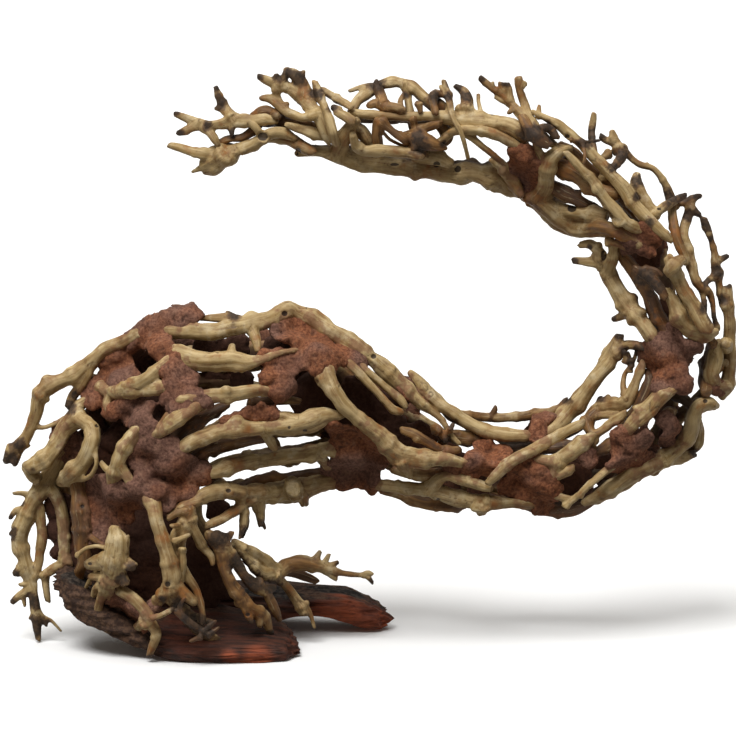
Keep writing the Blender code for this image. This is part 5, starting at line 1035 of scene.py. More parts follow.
def settle(strands, fixed, closeness, gap, rounds):
    """Push strands that cross one of another root along the sight line until the two touch. The
    first fixed strands stay where they are."""
    names = [strand["name"] for strand in strands]
    weights = [sample_weights(strand) for strand in strands]
    spans = np.cumsum([0] + [len(weight) for weight in weights])
    uv = np.concatenate([w @ s["uv"] for w, s in zip(weights, strands)])
    radius = np.concatenate([w @ s["r"] for w, s in zip(weights, strands)])
    owner = np.repeat([names.index(name) for name in names], np.diff(spans))
    free = np.arange(spans[-1]) >= spans[fixed]
    flat = np.hypot(uv[:, None, 0] - uv[None, :, 0], uv[:, None, 1] - uv[None, :, 1])
    reach = (radius[:, None] + radius[None, :]) * closeness + gap
    one, two = np.nonzero((flat < reach) & (owner[:, None] != owner[None, :]) & free[:, None])
    need = np.sqrt(reach[one, two] ** 2 - flat[one, two] ** 2)
    for _ in range(rounds):
        depth = np.concatenate([w @ s["w"] for w, s in zip(weights, strands)])
        apart = depth[two] - depth[one]
        short = np.clip(need - np.abs(apart), 0.0, None)
        push = np.where(apart >= 0, -1.0, 1.0) * short * (short < DEEP) * PUSH
        ahead = np.zeros(len(depth))
        behind = np.zeros(len(depth))
        np.minimum.at(ahead, one, np.minimum(push, 0.0))
        np.maximum.at(behind, one, np.maximum(push, 0.0))
        move = ahead + behind
        for index in range(fixed, len(strands)):
            strand, weight = strands[index], weights[index]
            shift = weight.T @ move[spans[index]:spans[index + 1]] / (weight.sum(0) + TINY)
            shift[1:-1] = shift[1:-1] * (1 - 2 * EVEN) + (shift[:-2] + shift[2:]) * EVEN
            strand["w"] = strand["w"] + shift + (strand["rest"] - strand["w"]) * PULL
            if strand["parent"]:
                strand["w"][0] = depth_at(*strand["parent"])


# ---------------------------------------------------------------- shapes

def wander(points, seed):
    """Smooth random numbers from -1 to 1: each point blends the numbers at the eight corners
    of its cell of a random lattice, with weights that ease in and out."""
    table = np.random.default_rng(seed).uniform(-1.0, 1.0, LATTICE ** 3)
    cell = np.floor(points).astype(np.int64)
    part = ease(points - cell)
    total = np.zeros(len(points))
    for corner in np.ndindex(2, 2, 2):
        place = (cell + corner) % LATTICE
        weight = np.prod(np.where(corner, part, 1.0 - part), axis=1)
        total += weight * table[(place[:, 0] * LATTICE + place[:, 1]) * LATTICE + place[:, 2]]
    return total


def rough(points, seed, *layers):
    """The sum of several wanderings, each with its own scale and size."""
    return sum(wander(points * scale, seed + number) * size
               for number, (scale, size) in enumerate(layers))


def ease(values):
    """0 below 0, 1 above 1, and a smooth rise between."""
    values = np.clip(values, 0.0, 1.0)
    return values * values * (3.0 - 2.0 * values)


def unit(rows):
    """Rows scaled to length 1."""
    return rows / (np.linalg.norm(rows, axis=1, keepdims=True) + 1e-12)


def bell(reach, width, step=1.0):
    """The weights of a blur: e^(-(d / width)^2 / 2) for the cells up to reach on either side."""
    return np.exp(-0.5 * (np.arange(-reach, reach + 1) * step / width) ** 2)


def spotted(level, across, other, spots, stretch=1.0):
    """How close places lie to a table of spots: level - distance / reach, and never below 0."""
    total = np.zeros(len(across))
    for spot, height, reach in spots:
        away = np.hypot((across - spot) / stretch, other - height) / reach
        total = np.maximum(total, level - away)
    return total


def rounded(rows):
    """Rows of a table blurred along its length, with both ends kept where they are."""
    reach = int(3 * ROUNDING / STEP)
    weights = bell(reach, ROUNDING, STEP)
    weights /= weights.sum()
    count = len(rows)
    ahead = 2 * rows[0] - rows[np.minimum(np.arange(reach, 0, -1), count - 1)]
    after = 2 * rows[-1] - rows[np.maximum(count - 2 - np.arange(reach), 0)]
    padded = np.concatenate([ahead, rows, after])
    return np.stack([np.convolve(column, weights, "valid") for column in padded.T], axis=1)


def trace(strand, dice):
    """The strand's line as samples STEP apart: place, direction, the two directions square to
    it, distance along and radius. The line wobbles, and the radius wanders, swells at joints and
    where the strand leaves its parent, and shrinks at free ends."""
    points = np.column_stack([strand["uv"], strand["w"], strand["r"]])
    run = run_of(points[:, :3])
    fine = np.linspace(0.0, run[-1], max(5, int(run[-1] / STEP) + 1))
    rows = rounded(np.stack([np.interp(fine, run, column) for column in points.T], axis=1))
    centre = in_place(*rows.T[:3])
    along = unit(np.gradient(centre, axis=0))
    front = unit(SLANT - (along @ SLANT)[:, None] * along)
    side = np.cross(along, front)
    radius = rows[:, 3] * SLIMMER
    thick = radius.mean()
    seed = int(dice.integers(1000000))
    sway = [wander(np.stack([fine / period, fine * 0, fine * 0 + number], axis=1), seed + number)
            for number, period in enumerate(SWAYS)]
    settled = ease(fine / (2.0 * thick)) if strand["parent"] else 1.0
    reach = (WOBBLE * radius + 0.2) * settled
    centre = centre + front * (sway[0] * reach)[:, None] + side * (sway[1] * reach)[:, None]
    radius = radius * (1.0 + UNEVEN * sway[2] + 0.6 * UNEVEN * sway[3])
    for joint in np.arange(dice.uniform(3, 10), run[-1] - 2, 1.0):
        if dice.random() < 1.0 / JOINT_SPACING:
            wide = thick * dice.uniform(0.4, 0.9)
            radius = radius * (1.0 + dice.uniform(*SWELLING) * np.exp(-((fine - joint) / wide) ** 2))
    if strand["parent"]:
        radius = radius * (1.0 + COLLAR * np.exp(-(fine / (1.1 * thick)) ** 2))
    else:
        radius = radius * (1.0 - TAPER * np.exp(-(fine / (0.9 * thick)) ** 2))
    radius = radius * (1.0 - TAPER * np.exp(-((run[-1] - fine) / (0.9 * thick)) ** 2))
    return {"centre": centre, "along": along, "front": front, "side": side,
            "run": fine + dice.uniform(0, 400), "radius": radius, "from_end": run[-1] - fine}


def sleeve(line, seed):
    """A closed sleeve: a ring round each sample of a line, flattened a little one way that turns
    along it, with a radius that wanders, and end caps of smaller rings that dome out."""
    run = line["run"]
    angle = np.linspace(0.0, 2 * math.pi, CORNERS, endpoint=False)
    flutes = np.column_stack([np.tile(np.cos(angle), len(run)), np.tile(np.sin(angle), len(run)),
                              np.repeat(run, CORNERS)])
    wave = rough(flutes, seed, ((1.1, 1.1, 1 / 22), FLUTE), ((2.1, 2.1, 1 / 9), FLUTE * 0.7))
    wave = wave.reshape(-1, CORNERS)
    turn = 2.5 * wander(np.stack([run / 30, run * 0, run * 0], 1), seed + 2)
    wave = wave + FLAT * np.cos(2 * (angle[None] - turn[:, None]))
    spoke = (line["front"][:, None] * np.cos(angle)[:, None]
             + line["side"][:, None] * np.sin(angle)[:, None])
    body = line["centre"][:, None] + spoke * (line["radius"][:, None] * (1.0 + wave))[..., None]
    caps = []
    slope = np.random.default_rng(seed + 3).uniform(-CUT, CUT, (2, 2))
    for end, sign in ((0, -1.0), (-1, 1.0)):
        lean = slope[end, 0] * np.cos(angle) + slope[end, 1] * np.sin(angle)
        for share, out in CAPS:
            push = sign * line["radius"][end] * (out + lean * share * (1.0 - share) * 2.0)
            caps.append(line["centre"][end] + line["along"][end] * push[:, None]
                        + (body[end] - line["centre"][end]) * share)
    first = np.stack(caps[:len(CAPS)][::-1])
    last = np.stack(caps[len(CAPS):])
    return closed_grid(np.concatenate([first, body, last]))


def closed_grid(grid):
    """A grid of rings as vertices, four-cornered faces and the triangles that close its ends."""
    rows, corners = grid.shape[:2]
    verts = np.concatenate([grid.reshape(-1, 3), grid[:1].mean(1), grid[-1:].mean(1)])
    index = np.arange(rows * corners).reshape(rows, corners)
    turned = np.roll(index, -1, axis=1)
    walls = np.stack([index[:-1], turned[:-1], turned[1:], index[1:]], -1).reshape(-1, 4)
    pole = rows * corners
    start = np.stack([turned[0], index[0], np.full(corners, pole)], 1)
    stop = np.stack([index[-1], turned[-1], np.full(corners, pole + 1)], 1)
    return verts, walls, np.concatenate([start, stop])


def new_mesh(name, verts, quads, tris=()):
    """A mesh of vertices in mm, quads and triangles, shaded smooth."""
    loops = np.concatenate([np.ravel(quads), np.ravel(tris)])
    starts = np.concatenate([np.arange(len(quads)) * 4, len(quads) * 4 + np.arange(len(tris)) * 3])
    mesh = bpy.data.meshes.new(name)
    mesh.vertices.add(len(verts))
    mesh.loops.add(len(loops))
    mesh.polygons.add(len(starts))
    mesh.vertices.foreach_set("co", (verts * MM).astype(np.float32).ravel())
    mesh.loops.foreach_set("vertex_index", loops.astype(np.int32))
    mesh.polygons.foreach_set("loop_start", starts.astype(np.int32))
    mesh.polygons.foreach_set("use_smooth", np.ones(len(starts), bool))
    mesh.update(calc_edges=True)
    return mesh


def put(name, data):
    """A new object of some data, in the scene."""
    thing = bpy.data.objects.new(name, data)
    bpy.context.scene.collection.objects.link(thing)
    return thing


def fuse(name, parts, facet):
    """Melt overlapping closed parts into one skin of even facets: vertices in mm, and quads."""
    firsts = np.cumsum([0] + [len(part[0]) for part in parts])
    verts = np.concatenate([part[0] for part in parts])
    quads, tris = [np.concatenate([part[kind] + first for part, first in zip(parts, firsts)])
                   for kind in (1, 2)]
    mesh = new_mesh(name + "_parts", verts, quads, tris)
    holder = put(name + "_parts", mesh)
    skin = holder.modifiers.new("skin", "REMESH")
    skin.mode = "VOXEL"
    skin.voxel_size = facet * MM
    graph = bpy.context.evaluated_depsgraph_get()
    melted = bpy.data.meshes.new_from_object(holder.evaluated_get(graph))
    verts = np.empty(len(melted.vertices) * 3, np.float32)
    melted.vertices.foreach_get("co", verts)
    corners = np.empty(len(melted.loops), np.int32)
    melted.loops.foreach_get("vertex_index", corners)
    bpy.data.objects.remove(holder, do_unlink=True)
    bpy.data.meshes.remove(mesh)
    bpy.data.meshes.remove(melted)
    return verts.reshape(-1, 3).astype(float) / MM, corners.reshape(-1, 4).astype(np.int64)


def smoothed(verts, quads, rounds):
    """Even out a skin without shrinking it: each round moves every vertex towards the middle of
    its neighbours, then a little further back."""
    pairs = np.concatenate([quads[:, [0, 1]], quads[:, [1, 2]], quads[:, [2, 3]], quads[:, [3, 0]]])
    count = len(verts)
    degree = np.bincount(pairs[:, 0], minlength=count) + np.bincount(pairs[:, 1], minlength=count)
    for share in (0.55, -0.57) * rounds:
        total = np.stack([
            np.bincount(pairs[:, 0], verts[pairs[:, 1], axis], count)
            + np.bincount(pairs[:, 1], verts[pairs[:, 0], axis], count) for axis in range(3)], 1)
        verts = verts + (total / degree[:, None] - verts) * share
    return verts


def outward(verts, quads):
    """Directions square to the skin: each face adds the cross product of its diagonals."""
    face = np.cross(verts[quads[:, 2]] - verts[quads[:, 0]], verts[quads[:, 3]] - verts[quads[:, 1]])
    total = np.zeros_like(verts)
    for corner in range(4):
        for axis in range(3):
            total[:, axis] += np.bincount(quads[:, corner], face[:, axis], len(verts))
    return unit(total)


def nearest_sample(verts, centre, radius):
    """For each vertex, the sample whose round surface lies nearest."""
    found = np.empty(len(verts), np.int64)
    middle = centre.mean(0)
    samples = (centre - middle).astype(np.float32)
    size = (samples ** 2).sum(1)
    for first in range(0, len(verts), BLOCK):
        block = (verts[first:first + BLOCK] - middle).astype(np.float32)
        away = (block ** 2).sum(1)[:, None] + size[None] - 2.0 * block @ samples.T
        found[first:first + BLOCK] = (np.sqrt(np.clip(away, 0, None)) - radius[None]).argmin(1)
    return found


def bark(verts, quads, lines, seed):
    """Work a root's skin along its grain. Each vertex moves outwards by wandering fibres and
    lumps times the root's thickness, less a crack where a wandering number passes 0, plus a bell
    round each knot, half of which have a narrower bell taken out as a dent. Returns the vertices,
    their directions out and what each one knows."""
    joined = {key: np.concatenate([line[key] for line in lines]) for key in lines[0]}
    near = nearest_sample(verts, joined["centre"], joined["radius"])
    offset = verts - joined["centre"][near]
    out, aside, onward = [(offset * joined[key][near]).sum(1) for key in ("front", "side", "along")]
    grain = np.stack([out, aside, joined["run"][near] + onward], axis=1)
    normal = outward(verts, quads)
    thick = np.clip(joined["radius"][near] / 4.0, 0.2, 1.4)
    fibre = rough(grain, seed, *FIBRES)
    lumps = wander(verts * 0.2, seed + 2) * 0.22 + wander(verts * 0.5, seed + 5) * 0.08
    split = np.abs(wander(grain * (0.42, 0.42, 0.035), seed + 3))
    crack = ease(1.0 - split / 0.045) * ease(wander(grain * (0.1, 0.1, 0.04), seed + 4) * 3 - 0.3)
    lift = (fibre + lumps) * thick - crack * 0.45 * thick
    dice = np.random.default_rng(seed)
    knot = np.zeros(len(verts))
    for line in lines:
        length = line["run"][-1] - line["run"][0]
        for _ in range(int(length / KNOT_SPACING + dice.random())):
            spot = dice.integers(len(line["run"]))
            turn = dice.uniform(0, 2 * math.pi)
            size = line["radius"][spot] * dice.uniform(*KNOT_SIZE)
            spoke = line["front"][spot] * math.cos(turn) + line["side"][spot] * math.sin(turn)
            away = np.linalg.norm(verts - line["centre"][spot] - spoke * line["radius"][spot], axis=1)
            away = away / size
            dent = DENT if dice.random() < 0.5 else 0.0
            lift += size * (0.6 * np.exp(-away ** 2) - dent * np.exp(-(away * 2.6) ** 2))
            knot = np.maximum(knot, np.exp(-(away * 1.9) ** 2) * (dent > 0))
    end = np.clip(joined["from_end"][near] - onward, 0.0, None)
    # groove is painted shade for the low places between the fibres and lumps.
    known = {"grain": grain, "crack": crack, "knot": knot, "end": end,
             "groove": ease(-(fibre + lumps) * 2.2)}
    return verts + normal * lift[:, None], normal, known


def holed(across, up, w, verts, normal, foremost):
    """Sink the holes and cracks of the front that have a place of their own. Returns the moved vertices and
    how far inside a hole each one is, from 0 to 1, which the wood takes as painted shade."""
    facing = (normal @ SIGHT < -0.1) & (np.abs(w - looked_up(foremost, across, up)) < 2.5)
    hole = np.zeros(len(verts))
    for spot, height, wide, tall in HOLES:
        away = np.hypot((across - spot) / wide, (up - height) / tall)
        here = np.exp(-(away ** 4)) * facing
        verts = verts + SIGHT * (here * min(wide, tall) * 0.9)[:, None]
        hole = np.maximum(hole, here)
    return verts, hole


def charred(across, up):
    """How charred each place is, from 0 to 1, fading out with a ragged edge."""
    ragged = rough(np.stack([across, up, across * 0.3], 1), CHAR_SEED, (0.5, 0.32), (1.3, 0.2))
    total = spotted(1.15, across, up, CHARRED)
    return ease(total * 1.25 + ragged * (total > 0) - 0.08)


def dusted(across, up, w, pads):
    """How much wood dust clings to each place, from 0 to 1, by its distance to the paste."""
    total = np.zeros(len(across))
    for pad in pads:
        away = np.hypot(across - pad["at"][0], up - pad["at"][1]) - pad["reach"]
        near = np.abs(w - pad["w"]) < pad["reach"] + DUST_DEPTH
        total = np.maximum(total, np.where(near, 1.0 - (away - 1.0) / DUST_FADE, 0.0))
    ragged = rough(np.stack([across, up, w], 1), DUST_SEED, (0.22, 0.7), (0.7, 0.35))
    return ease(np.clip(total, 0.0, 1.0) * 0.9 + ragged * (total > 0) - 0.25)


def hidden(across, up, w, normal, spine):
    """How far each place lies or looks into the bundle, from 0, on its skin, to 1: how much painted shade it
    gets on the roots and the paste.
    """
    distance, nearest = nearest_middle(across, up, spine)
    half = nearest[:, 2] + 3.0
    share = np.sqrt((distance / half) ** 2 + (from_sight(up, w) / (SKIN_DEPTH * half)) ** 2)
    middle = in_place(nearest[:, 0], nearest[:, 1], to_sight(nearest[:, 1], 0.0))
    look = -(unit(in_place(across, up, w) - middle) * normal).sum(1)
    inner = ease((0.86 - share) / 0.42)
    return np.clip(inner + 0.55 * np.clip(look, 0, 1) * ease((1.3 - share) / 0.3), 0.0, 1.0)


def add_piece(name, verts, faces, known, material, nodes):
    """A finished piece: its mesh, what its vertices know for the materials, its material, body
    and slot, and the nodes that it stands for."""
    mesh = new_mesh(name, verts, *faces)
    for key, values in known.items():
        kind, field = ("FLOAT_VECTOR", "vector") if values.ndim == 2 else ("FLOAT", "value")
        layer = mesh.attributes.new(key, kind, "POINT")
        layer.data.foreach_set(field, values.astype(np.float32).ravel())
    mesh.materials.append(material)
    piece = put(name, mesh)
    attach(piece, BODY)
    if nodes:
        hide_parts(*nodes)


def seed_of(name):
    """A number of its own for each name."""
    return sum(place * ord(letter) for place, letter in enumerate(name, 1)) % 100003


def make_root(name, strands, spine, pads, foremost, materials):
    """A root with all its twigs: sleeves fused into one skin and worked along the grain."""
    seed = seed_of(name)
    dice = np.random.default_rng(seed)
    lines = [trace(strand, dice) for strand in strands]
    parts = [sleeve(line, seed + 7 * index) for index, line in enumerate(lines)]
    thinnest = min(strand["r"].min() for strand in strands)
    verts, quads = fuse(name, parts, TWIG_FINE if thinnest < THIN else FINE)
    verts, normal, known = bark(smoothed(verts, quads, ROOT_ROUNDS), quads, lines, seed)
    across, up, w = on_plane(verts)
    verts, known["hole"] = holed(across, up, w, verts, normal, foremost)
    verts[:, 2] = np.maximum(verts[:, 2], FLOOR_GAP)
    known["char"] = charred(across, up)
    known["dust"] = dusted(across, up, w, pads)
    # inner: how much painted shade a place gets for lying deep in the bundle or facing into it.
    known["inner"] = hidden(across, up, w, normal, spine)
    tone = TONES.get(name.replace("_hidden", "_root"), MIDDLE_TONE) + dice.uniform(-0.08, 0.08)
    drift = wander(known["grain"] * (0.08, 0.08, 0.035), seed + 9)
    known["tone"] = np.clip(tone + 0.3 * drift, 0.0, 1.0)
    slot = "brown_root_wood" if tone > BROWN else "pale_root_wood"
    node = [name] if name in ROOTS else []
    add_piece(name + "_wood", verts, [quads], known, materials[slot], node)


# ---------------------------------------------------------------- paste

def surface_maps(strands, spine):
    """Depth of the roots over the drawing plane, on a grid of 1 mm: the foremost surface, and for
    the front and the back the smooth level of the crests. Each sample's round outline is spread
    over its neighbours and the nearest wins; the level is a blur in which crests weigh more."""
    front = np.full(MAP_SHAPE, np.inf)
    back = np.full(MAP_SHAPE, -np.inf)
    rows = np.concatenate([
        sample_weights(strand) @ np.column_stack([strand["uv"], strand["w"], strand["r"]])
        for strand in strands])
    for right in range(-MAP_REACH, MAP_REACH + 1):
        for above in range(-MAP_REACH, MAP_REACH + 1):
            cell = np.round(rows[:, :2]).astype(int) + (right, above)
            bulge = rows[:, 3] ** 2 - ((cell - rows[:, :2]) ** 2).sum(1)
            hit = bulge > 0
            place = tuple((cell[hit] - MAP_LOW).T)
            rise = np.sqrt(bulge[hit])
            np.minimum.at(front, place, rows[hit, 2] - rise)
            np.maximum.at(back, place, rows[hit, 2] + rise)
    coarse = [np.arange(0, size, MAP_COARSE) for size in MAP_SHAPE]
    coarse = np.stack(np.meshgrid(*coarse, indexing="ij"), -1)
    flat = (coarse + MAP_LOW).reshape(-1, 2).astype(float)
    skin = skin_depth(flat[:, 0], flat[:, 1], spine).reshape(coarse.shape[:2])
    skin = np.kron(skin, np.ones((MAP_COARSE, MAP_COARSE)))[:MAP_SHAPE[0], :MAP_SHAPE[1]]
    up = np.broadcast_to(np.arange(MAP_SHAPE[1]) + MAP_LOW[1], MAP_SHAPE)
    maps = {"foremost": np.where(np.isfinite(front), front, 1e3)}
    for side, sign, found in (("front", -1.0, front), ("back", 1.0, back)):
        expected = to_sight(up, sign * skin)
        high = np.where(np.isfinite(found), (found - expected) * sign, -99.0)
        near = np.abs(high) < NEAR_SKIN
        weight = np.where(near, np.exp(np.clip(high / CREST, -2.0, 2.5)), 0.0) + 0.004
        value = expected + np.where(near, high, 0.0) * sign
        maps[side] = blurred(value * weight) / blurred(weight)
    return maps


def blurred(table):
    """A table blurred by a bell LEVEL wide along both of its directions."""
    weights = bell(int(3 * LEVEL), LEVEL)
    for _ in range(2):
        table = np.stack([np.convolve(row, weights, "same") for row in table]).T
    return table


def looked_up(table, across, up):
    """The values of a map at some places of the drawing plane, blended between its cells."""
    place = np.stack([across - MAP_LOW[0], up - MAP_LOW[1]], -1)
    place = np.clip(place, 0.0, np.array(MAP_SHAPE) - 1.001)
    cell = place.astype(int)
    part = place - cell
    total = 0.0
    for right, above in ((0, 0), (0, 1), (1, 0), (1, 1)):
        share = np.abs(1 - right - part[..., 0]) * np.abs(1 - above - part[..., 1])
        total = total + share * table[cell[..., 0] + right, cell[..., 1] + above]
    return total


def pad_of(across, up, reach, side, maps, lump):
    """A pad of paste as a place, a reach and a depth for its middle, with the lump it is of."""
    w = to_sight(up, CORE) if side == "inside" else looked_up(maps[side], across, up)
    return {"at": (across, up), "reach": reach, "side": side, "w": float(w), "lump": lump}


def sink_ends(strands, pads, maps):
    """Bend the ends of front roots that stop next to a lump of paste down into it, and return
    the small pads that close over them, each with the lump it belongs to."""
    outer = [pad for pad in pads if pad["side"] == "front"]
    places = np.array([pad["at"] for pad in outer], float)
    reach = np.array([pad["reach"] for pad in outer])
    added = []
    for strand in strands:
        if strand["side"] != "front":
            continue
        for end in ((-1,) if strand["parent"] else (0, -1)):
            spot = strand["uv"][end]
            away = np.hypot(*(places - spot).T) - reach
            if away.min() > END_REACH or tuple(spot) in OPEN_ENDS:
                continue
            drop = looked_up(maps["front"], *spot) + SINK + strand["r"][end] - strand["w"][end]
            if drop > DEEPEST or drop < 0.0:
                continue
            far = np.hypot(*(strand["uv"] - spot).T)
            strand["w"] = strand["w"] + drop * ease(1.0 - far / (DIVE + drop))
            lump = outer[away.argmin()]["lump"]
            added.append(pad_of(*spot, strand["r"][end] + END_EXTRA, "front", maps, lump))
    for strand in strands:
        if strand["parent"]:
            far = np.hypot(*(strand["uv"] - strand["uv"][0]).T)
            gap = depth_at(*strand["parent"]) - strand["w"][0]
            strand["w"] = strand["w"] + gap * np.exp(-far / DIVE)
    return added


def pad_mesh(pad, maps, seed):
    """A pad: rings round its middle, from the outer face over a blunt rim to the inner face. The
    outer face follows the level of the roots' crests and bulges out a little in the middle."""
    angle = np.linspace(0, 2 * math.pi, PAD_TURN, endpoint=False)
    circle = np.stack([np.cos(angle), np.sin(angle), angle * 0], 1)
    rim = (pad["reach"] + SPREAD) * (1.0 + rough(circle, seed, (1.6, 0.26), (3.4, 0.12)))
    turned = np.linspace(0.04, math.pi - 0.04, PAD_RINGS)
    share = np.sin(turned) ** 0.8
    u = pad["at"][0] + share[:, None] * rim * np.cos(angle)
    v = pad["at"][1] + share[:, None] * rim * np.sin(angle)
    if pad["side"] == "inside":
        w = to_sight(v, CORE) - (np.cos(turned) * pad["reach"] * 0.6)[:, None]
    else:
        sign = 1.0 if pad["side"] == "back" else -1.0
        thick = PASTE_THICK + 0.25 * pad["reach"]
        height = np.sign(np.cos(turned)) * np.abs(np.cos(turned)) ** 0.6 * thick * 0.5
        dome = DOME * pad["reach"] ** 0.5 * (1.0 - share ** 2) * (turned < math.pi / 2)
        w = looked_up(maps[pad["side"]], u, v) + sign * (height + dome - RECESS - thick * 0.5)[:, None]
    grid = in_place(u.ravel(), v.ravel(), w.ravel()).reshape(PAD_RINGS, PAD_TURN, 3)
    return closed_grid(grid if pad["side"] == "back" else grid[:, ::-1])


def make_paste(name, pads, maps, spine, material):
    """A lump of paste: pads fused and smoothed, then roughened like mortar. Each vertex moves
    outwards by wandering numbers, less a small pit where one of them is high."""
    seed = seed_of(name)
    parts = [pad_mesh(pad, maps, seed + 3 * index) for index, pad in enumerate(pads)]
    verts, quads = fuse(name, parts, PASTE_FINE)
    verts = smoothed(verts, quads, PASTE_ROUNDS)
    normal = outward(verts, quads)
    lift = rough(verts, seed, *PASTE_LUMPS)
    lift += np.abs(wander(verts * 0.62, seed + 2)) * 0.4 + wander(verts * 1.1, seed + 3) * 0.18
    pits = ease((wander(verts * 0.42, seed + 4) - 0.5) * 5)
    verts = verts + normal * (lift - pits * 0.6)[:, None]
    verts[:, 2] = np.maximum(verts[:, 2], FLOOR_GAP)
    across, up, w = on_plane(verts)
    # Painted shade: paste that lies deep in the bundle, or round the middle of an inside pad, is darkened.
    under = w - looked_up(maps["front"], across, up)
    inner = hidden(across, up, w, normal, spine) * ease((under - 2.0) / 6.0)
    for pad in pads:
        if pad["side"] == "inside":
            away = np.hypot(across - pad["at"][0], up - pad["at"][1]) / pad["reach"]
            middle = np.abs(w - to_sight(up, CORE)) < pad["reach"] * 0.7 + 1.0
            inner = np.maximum(inner, ease((1.25 - away) * 4.0) * middle)
    red = RED[name] + 0.9 * wander(verts * 0.05, seed + 5)
    known = {"char": charred(across, up) * 0.6, "pit": pits, "inner": inner,
             "red": np.clip(red, 0.0, 1.0)}
    add_piece(name + "_fill", verts, [quads], known, material, [name])


# ---------------------------------------------------------------- slabs

def make_slab(name, material):
    """A slab: sections of eight corners blended along it and narrowed at the ends. Each vertex
    moves outwards by its grain and by the layer it lies in, and lengthwise at the ragged ends."""
    rows = np.array(SLABS[name], float)
    seed = seed_of(name)
    lengthwise = int((rows[-1, 0] - rows[0, 0]) / SLAB_FINE)
    across = np.linspace(rows[0, 0], rows[-1, 0], lengthwise)
    front, back, under, low_top, high_top = [
        rounded_row(np.interp(across, rows[:, 0], column)) for column in rows.T[1:]]
    outline = []
    for y_share, height in SLAB_OUTLINE:
        top = low_top + (high_top - low_top) * np.clip((y_share - 0.1) / 0.8, 0, 1)
        outline.append(np.stack([across, front + (back - front) * y_share,
                                 under + (top - under) * height], axis=1))
    outline = np.stack(outline, axis=1)
    corners = len(SLAB_OUTLINE)
    place = np.arange(SLAB_TURN) * corners / SLAB_TURN
    before = np.floor(place).astype(int)
    part = (place - before)[None, :, None]
    grid = outline[:, before] * (1 - part) + outline[:, (before + 1) % corners] * part
    for _ in range(3):
        grid = (np.roll(grid, 1, axis=1) + grid * 2 + np.roll(grid, -1, axis=1)) / 4
    middle = grid.mean(1, keepdims=True)
    fade = np.minimum(across - across[0], across[-1] - across) / 6.0
    grid = middle + (grid - middle) * (0.55 + 0.45 * ease(fade))[:, None, None]
    verts, quads, tris = closed_grid(grid)
    out = np.concatenate([unit((grid - middle).reshape(-1, 3)), [[-1.0, 0, 0]], [[1.0, 0, 0]]])
    lift = rough(verts, seed, *SLAB_GRAIN)
    layers = verts[:, 2] + wander(verts * (0.03, 0.08, 0.1), seed + 2) * 3.0
    lift += (np.abs((layers / SLAB_LAYER) % 1.0 - 0.5) - 0.25) * 1.6
    ragged = wander(verts * (0.02, 0.55, 0.7), seed + 3) * 3.5
    near_end = 1.0 - ease(np.concatenate([np.repeat(fade, SLAB_TURN), [0.0, 0.0]]) / 1.3)
    verts = verts + out * (lift * (1.0 - near_end * 0.5))[:, None]
    verts[:, 0] += ragged * near_end * np.sign(verts[:, 0] - across.mean()) * -1.0
    verts[:, 1] += SHIFT_Y
    verts[:, 2] = np.maximum(verts[:, 2], 0.0)
    x, y, z = verts.T
    height = (z - np.interp(x, across, under)) / (np.interp(x, across, high_top - under) + 1e-6)
    char = spotted(1.2, x, y, SLAB_CHAR[name], 1.6)
    char = ease(char * 1.4 + wander(verts * 0.2, seed + 6) * 0.4 - 0.1) * ease((height - 0.55) * 4)
    worn = wander(verts * (0.03, 0.1, 0.1), seed + 7)
    bright = ease(spotted(1.3, x, y, SLAB_BRIGHT[name]) + worn * 0.5)
    top = ease((height - 0.78 + worn * 0.15) * 6) * SLAB_TOP[name] * (1.0 - 0.6 * bright)
    top = np.maximum(top, ease((SLAB_WORN[name] - x) / 22.0 + worn * 0.5))
    known = {"char": char, "top": top, "bright": bright}
    add_piece(name + "_wood", verts, [quads, tris], known, material, [name])


def rounded_row(values):
    """A row of numbers blurred over its neighbours."""
    weights = bell(9, 4.0)
    return np.convolve(np.pad(values, 9, mode="edge"), weights / weights.sum(), "valid")


# ---------------------------------------------------------------- finishes

def srgb(red, green, blue):
    """A display colour from 0 to 255 as the linear colour that shaders take."""
    shares = [value / 255.0 for value in (red, green, blue)]
    linear = [s / 12.92 if s <= 0.04045 else ((s + 0.055) / 1.055) ** 2.4 for s in shares]
    return (*linear, 1.0)


class Wire:
    """A value on its way between nodes. Arithmetic on it adds Math nodes."""

    def __init__(self, finish, socket):
        self.finish = finish
        self.socket = socket

    def maths(self, operation, *values):
        return self.finish.node("ShaderNodeMath", {"operation": operation}, dict(enumerate(values)))

    def __add__(self, other):
        return self.maths("ADD", self, other)

    def __sub__(self, other):
        return self.maths("SUBTRACT", self, other)

    def __rsub__(self, other):
        return self.maths("SUBTRACT", other, self)

    def __mul__(self, other):
        return self.maths("MULTIPLY", self, other)

    __radd__ = __add__
    __rmul__ = __mul__

    def above(self, low, high):
        """0 below low, 1 above high, and a smooth rise between."""
        settings = {"clamp": True, "interpolation_type": "SMOOTHSTEP"}
        return self.finish.node("ShaderNodeMapRange", settings, {0: self, 1: low, 2: high})


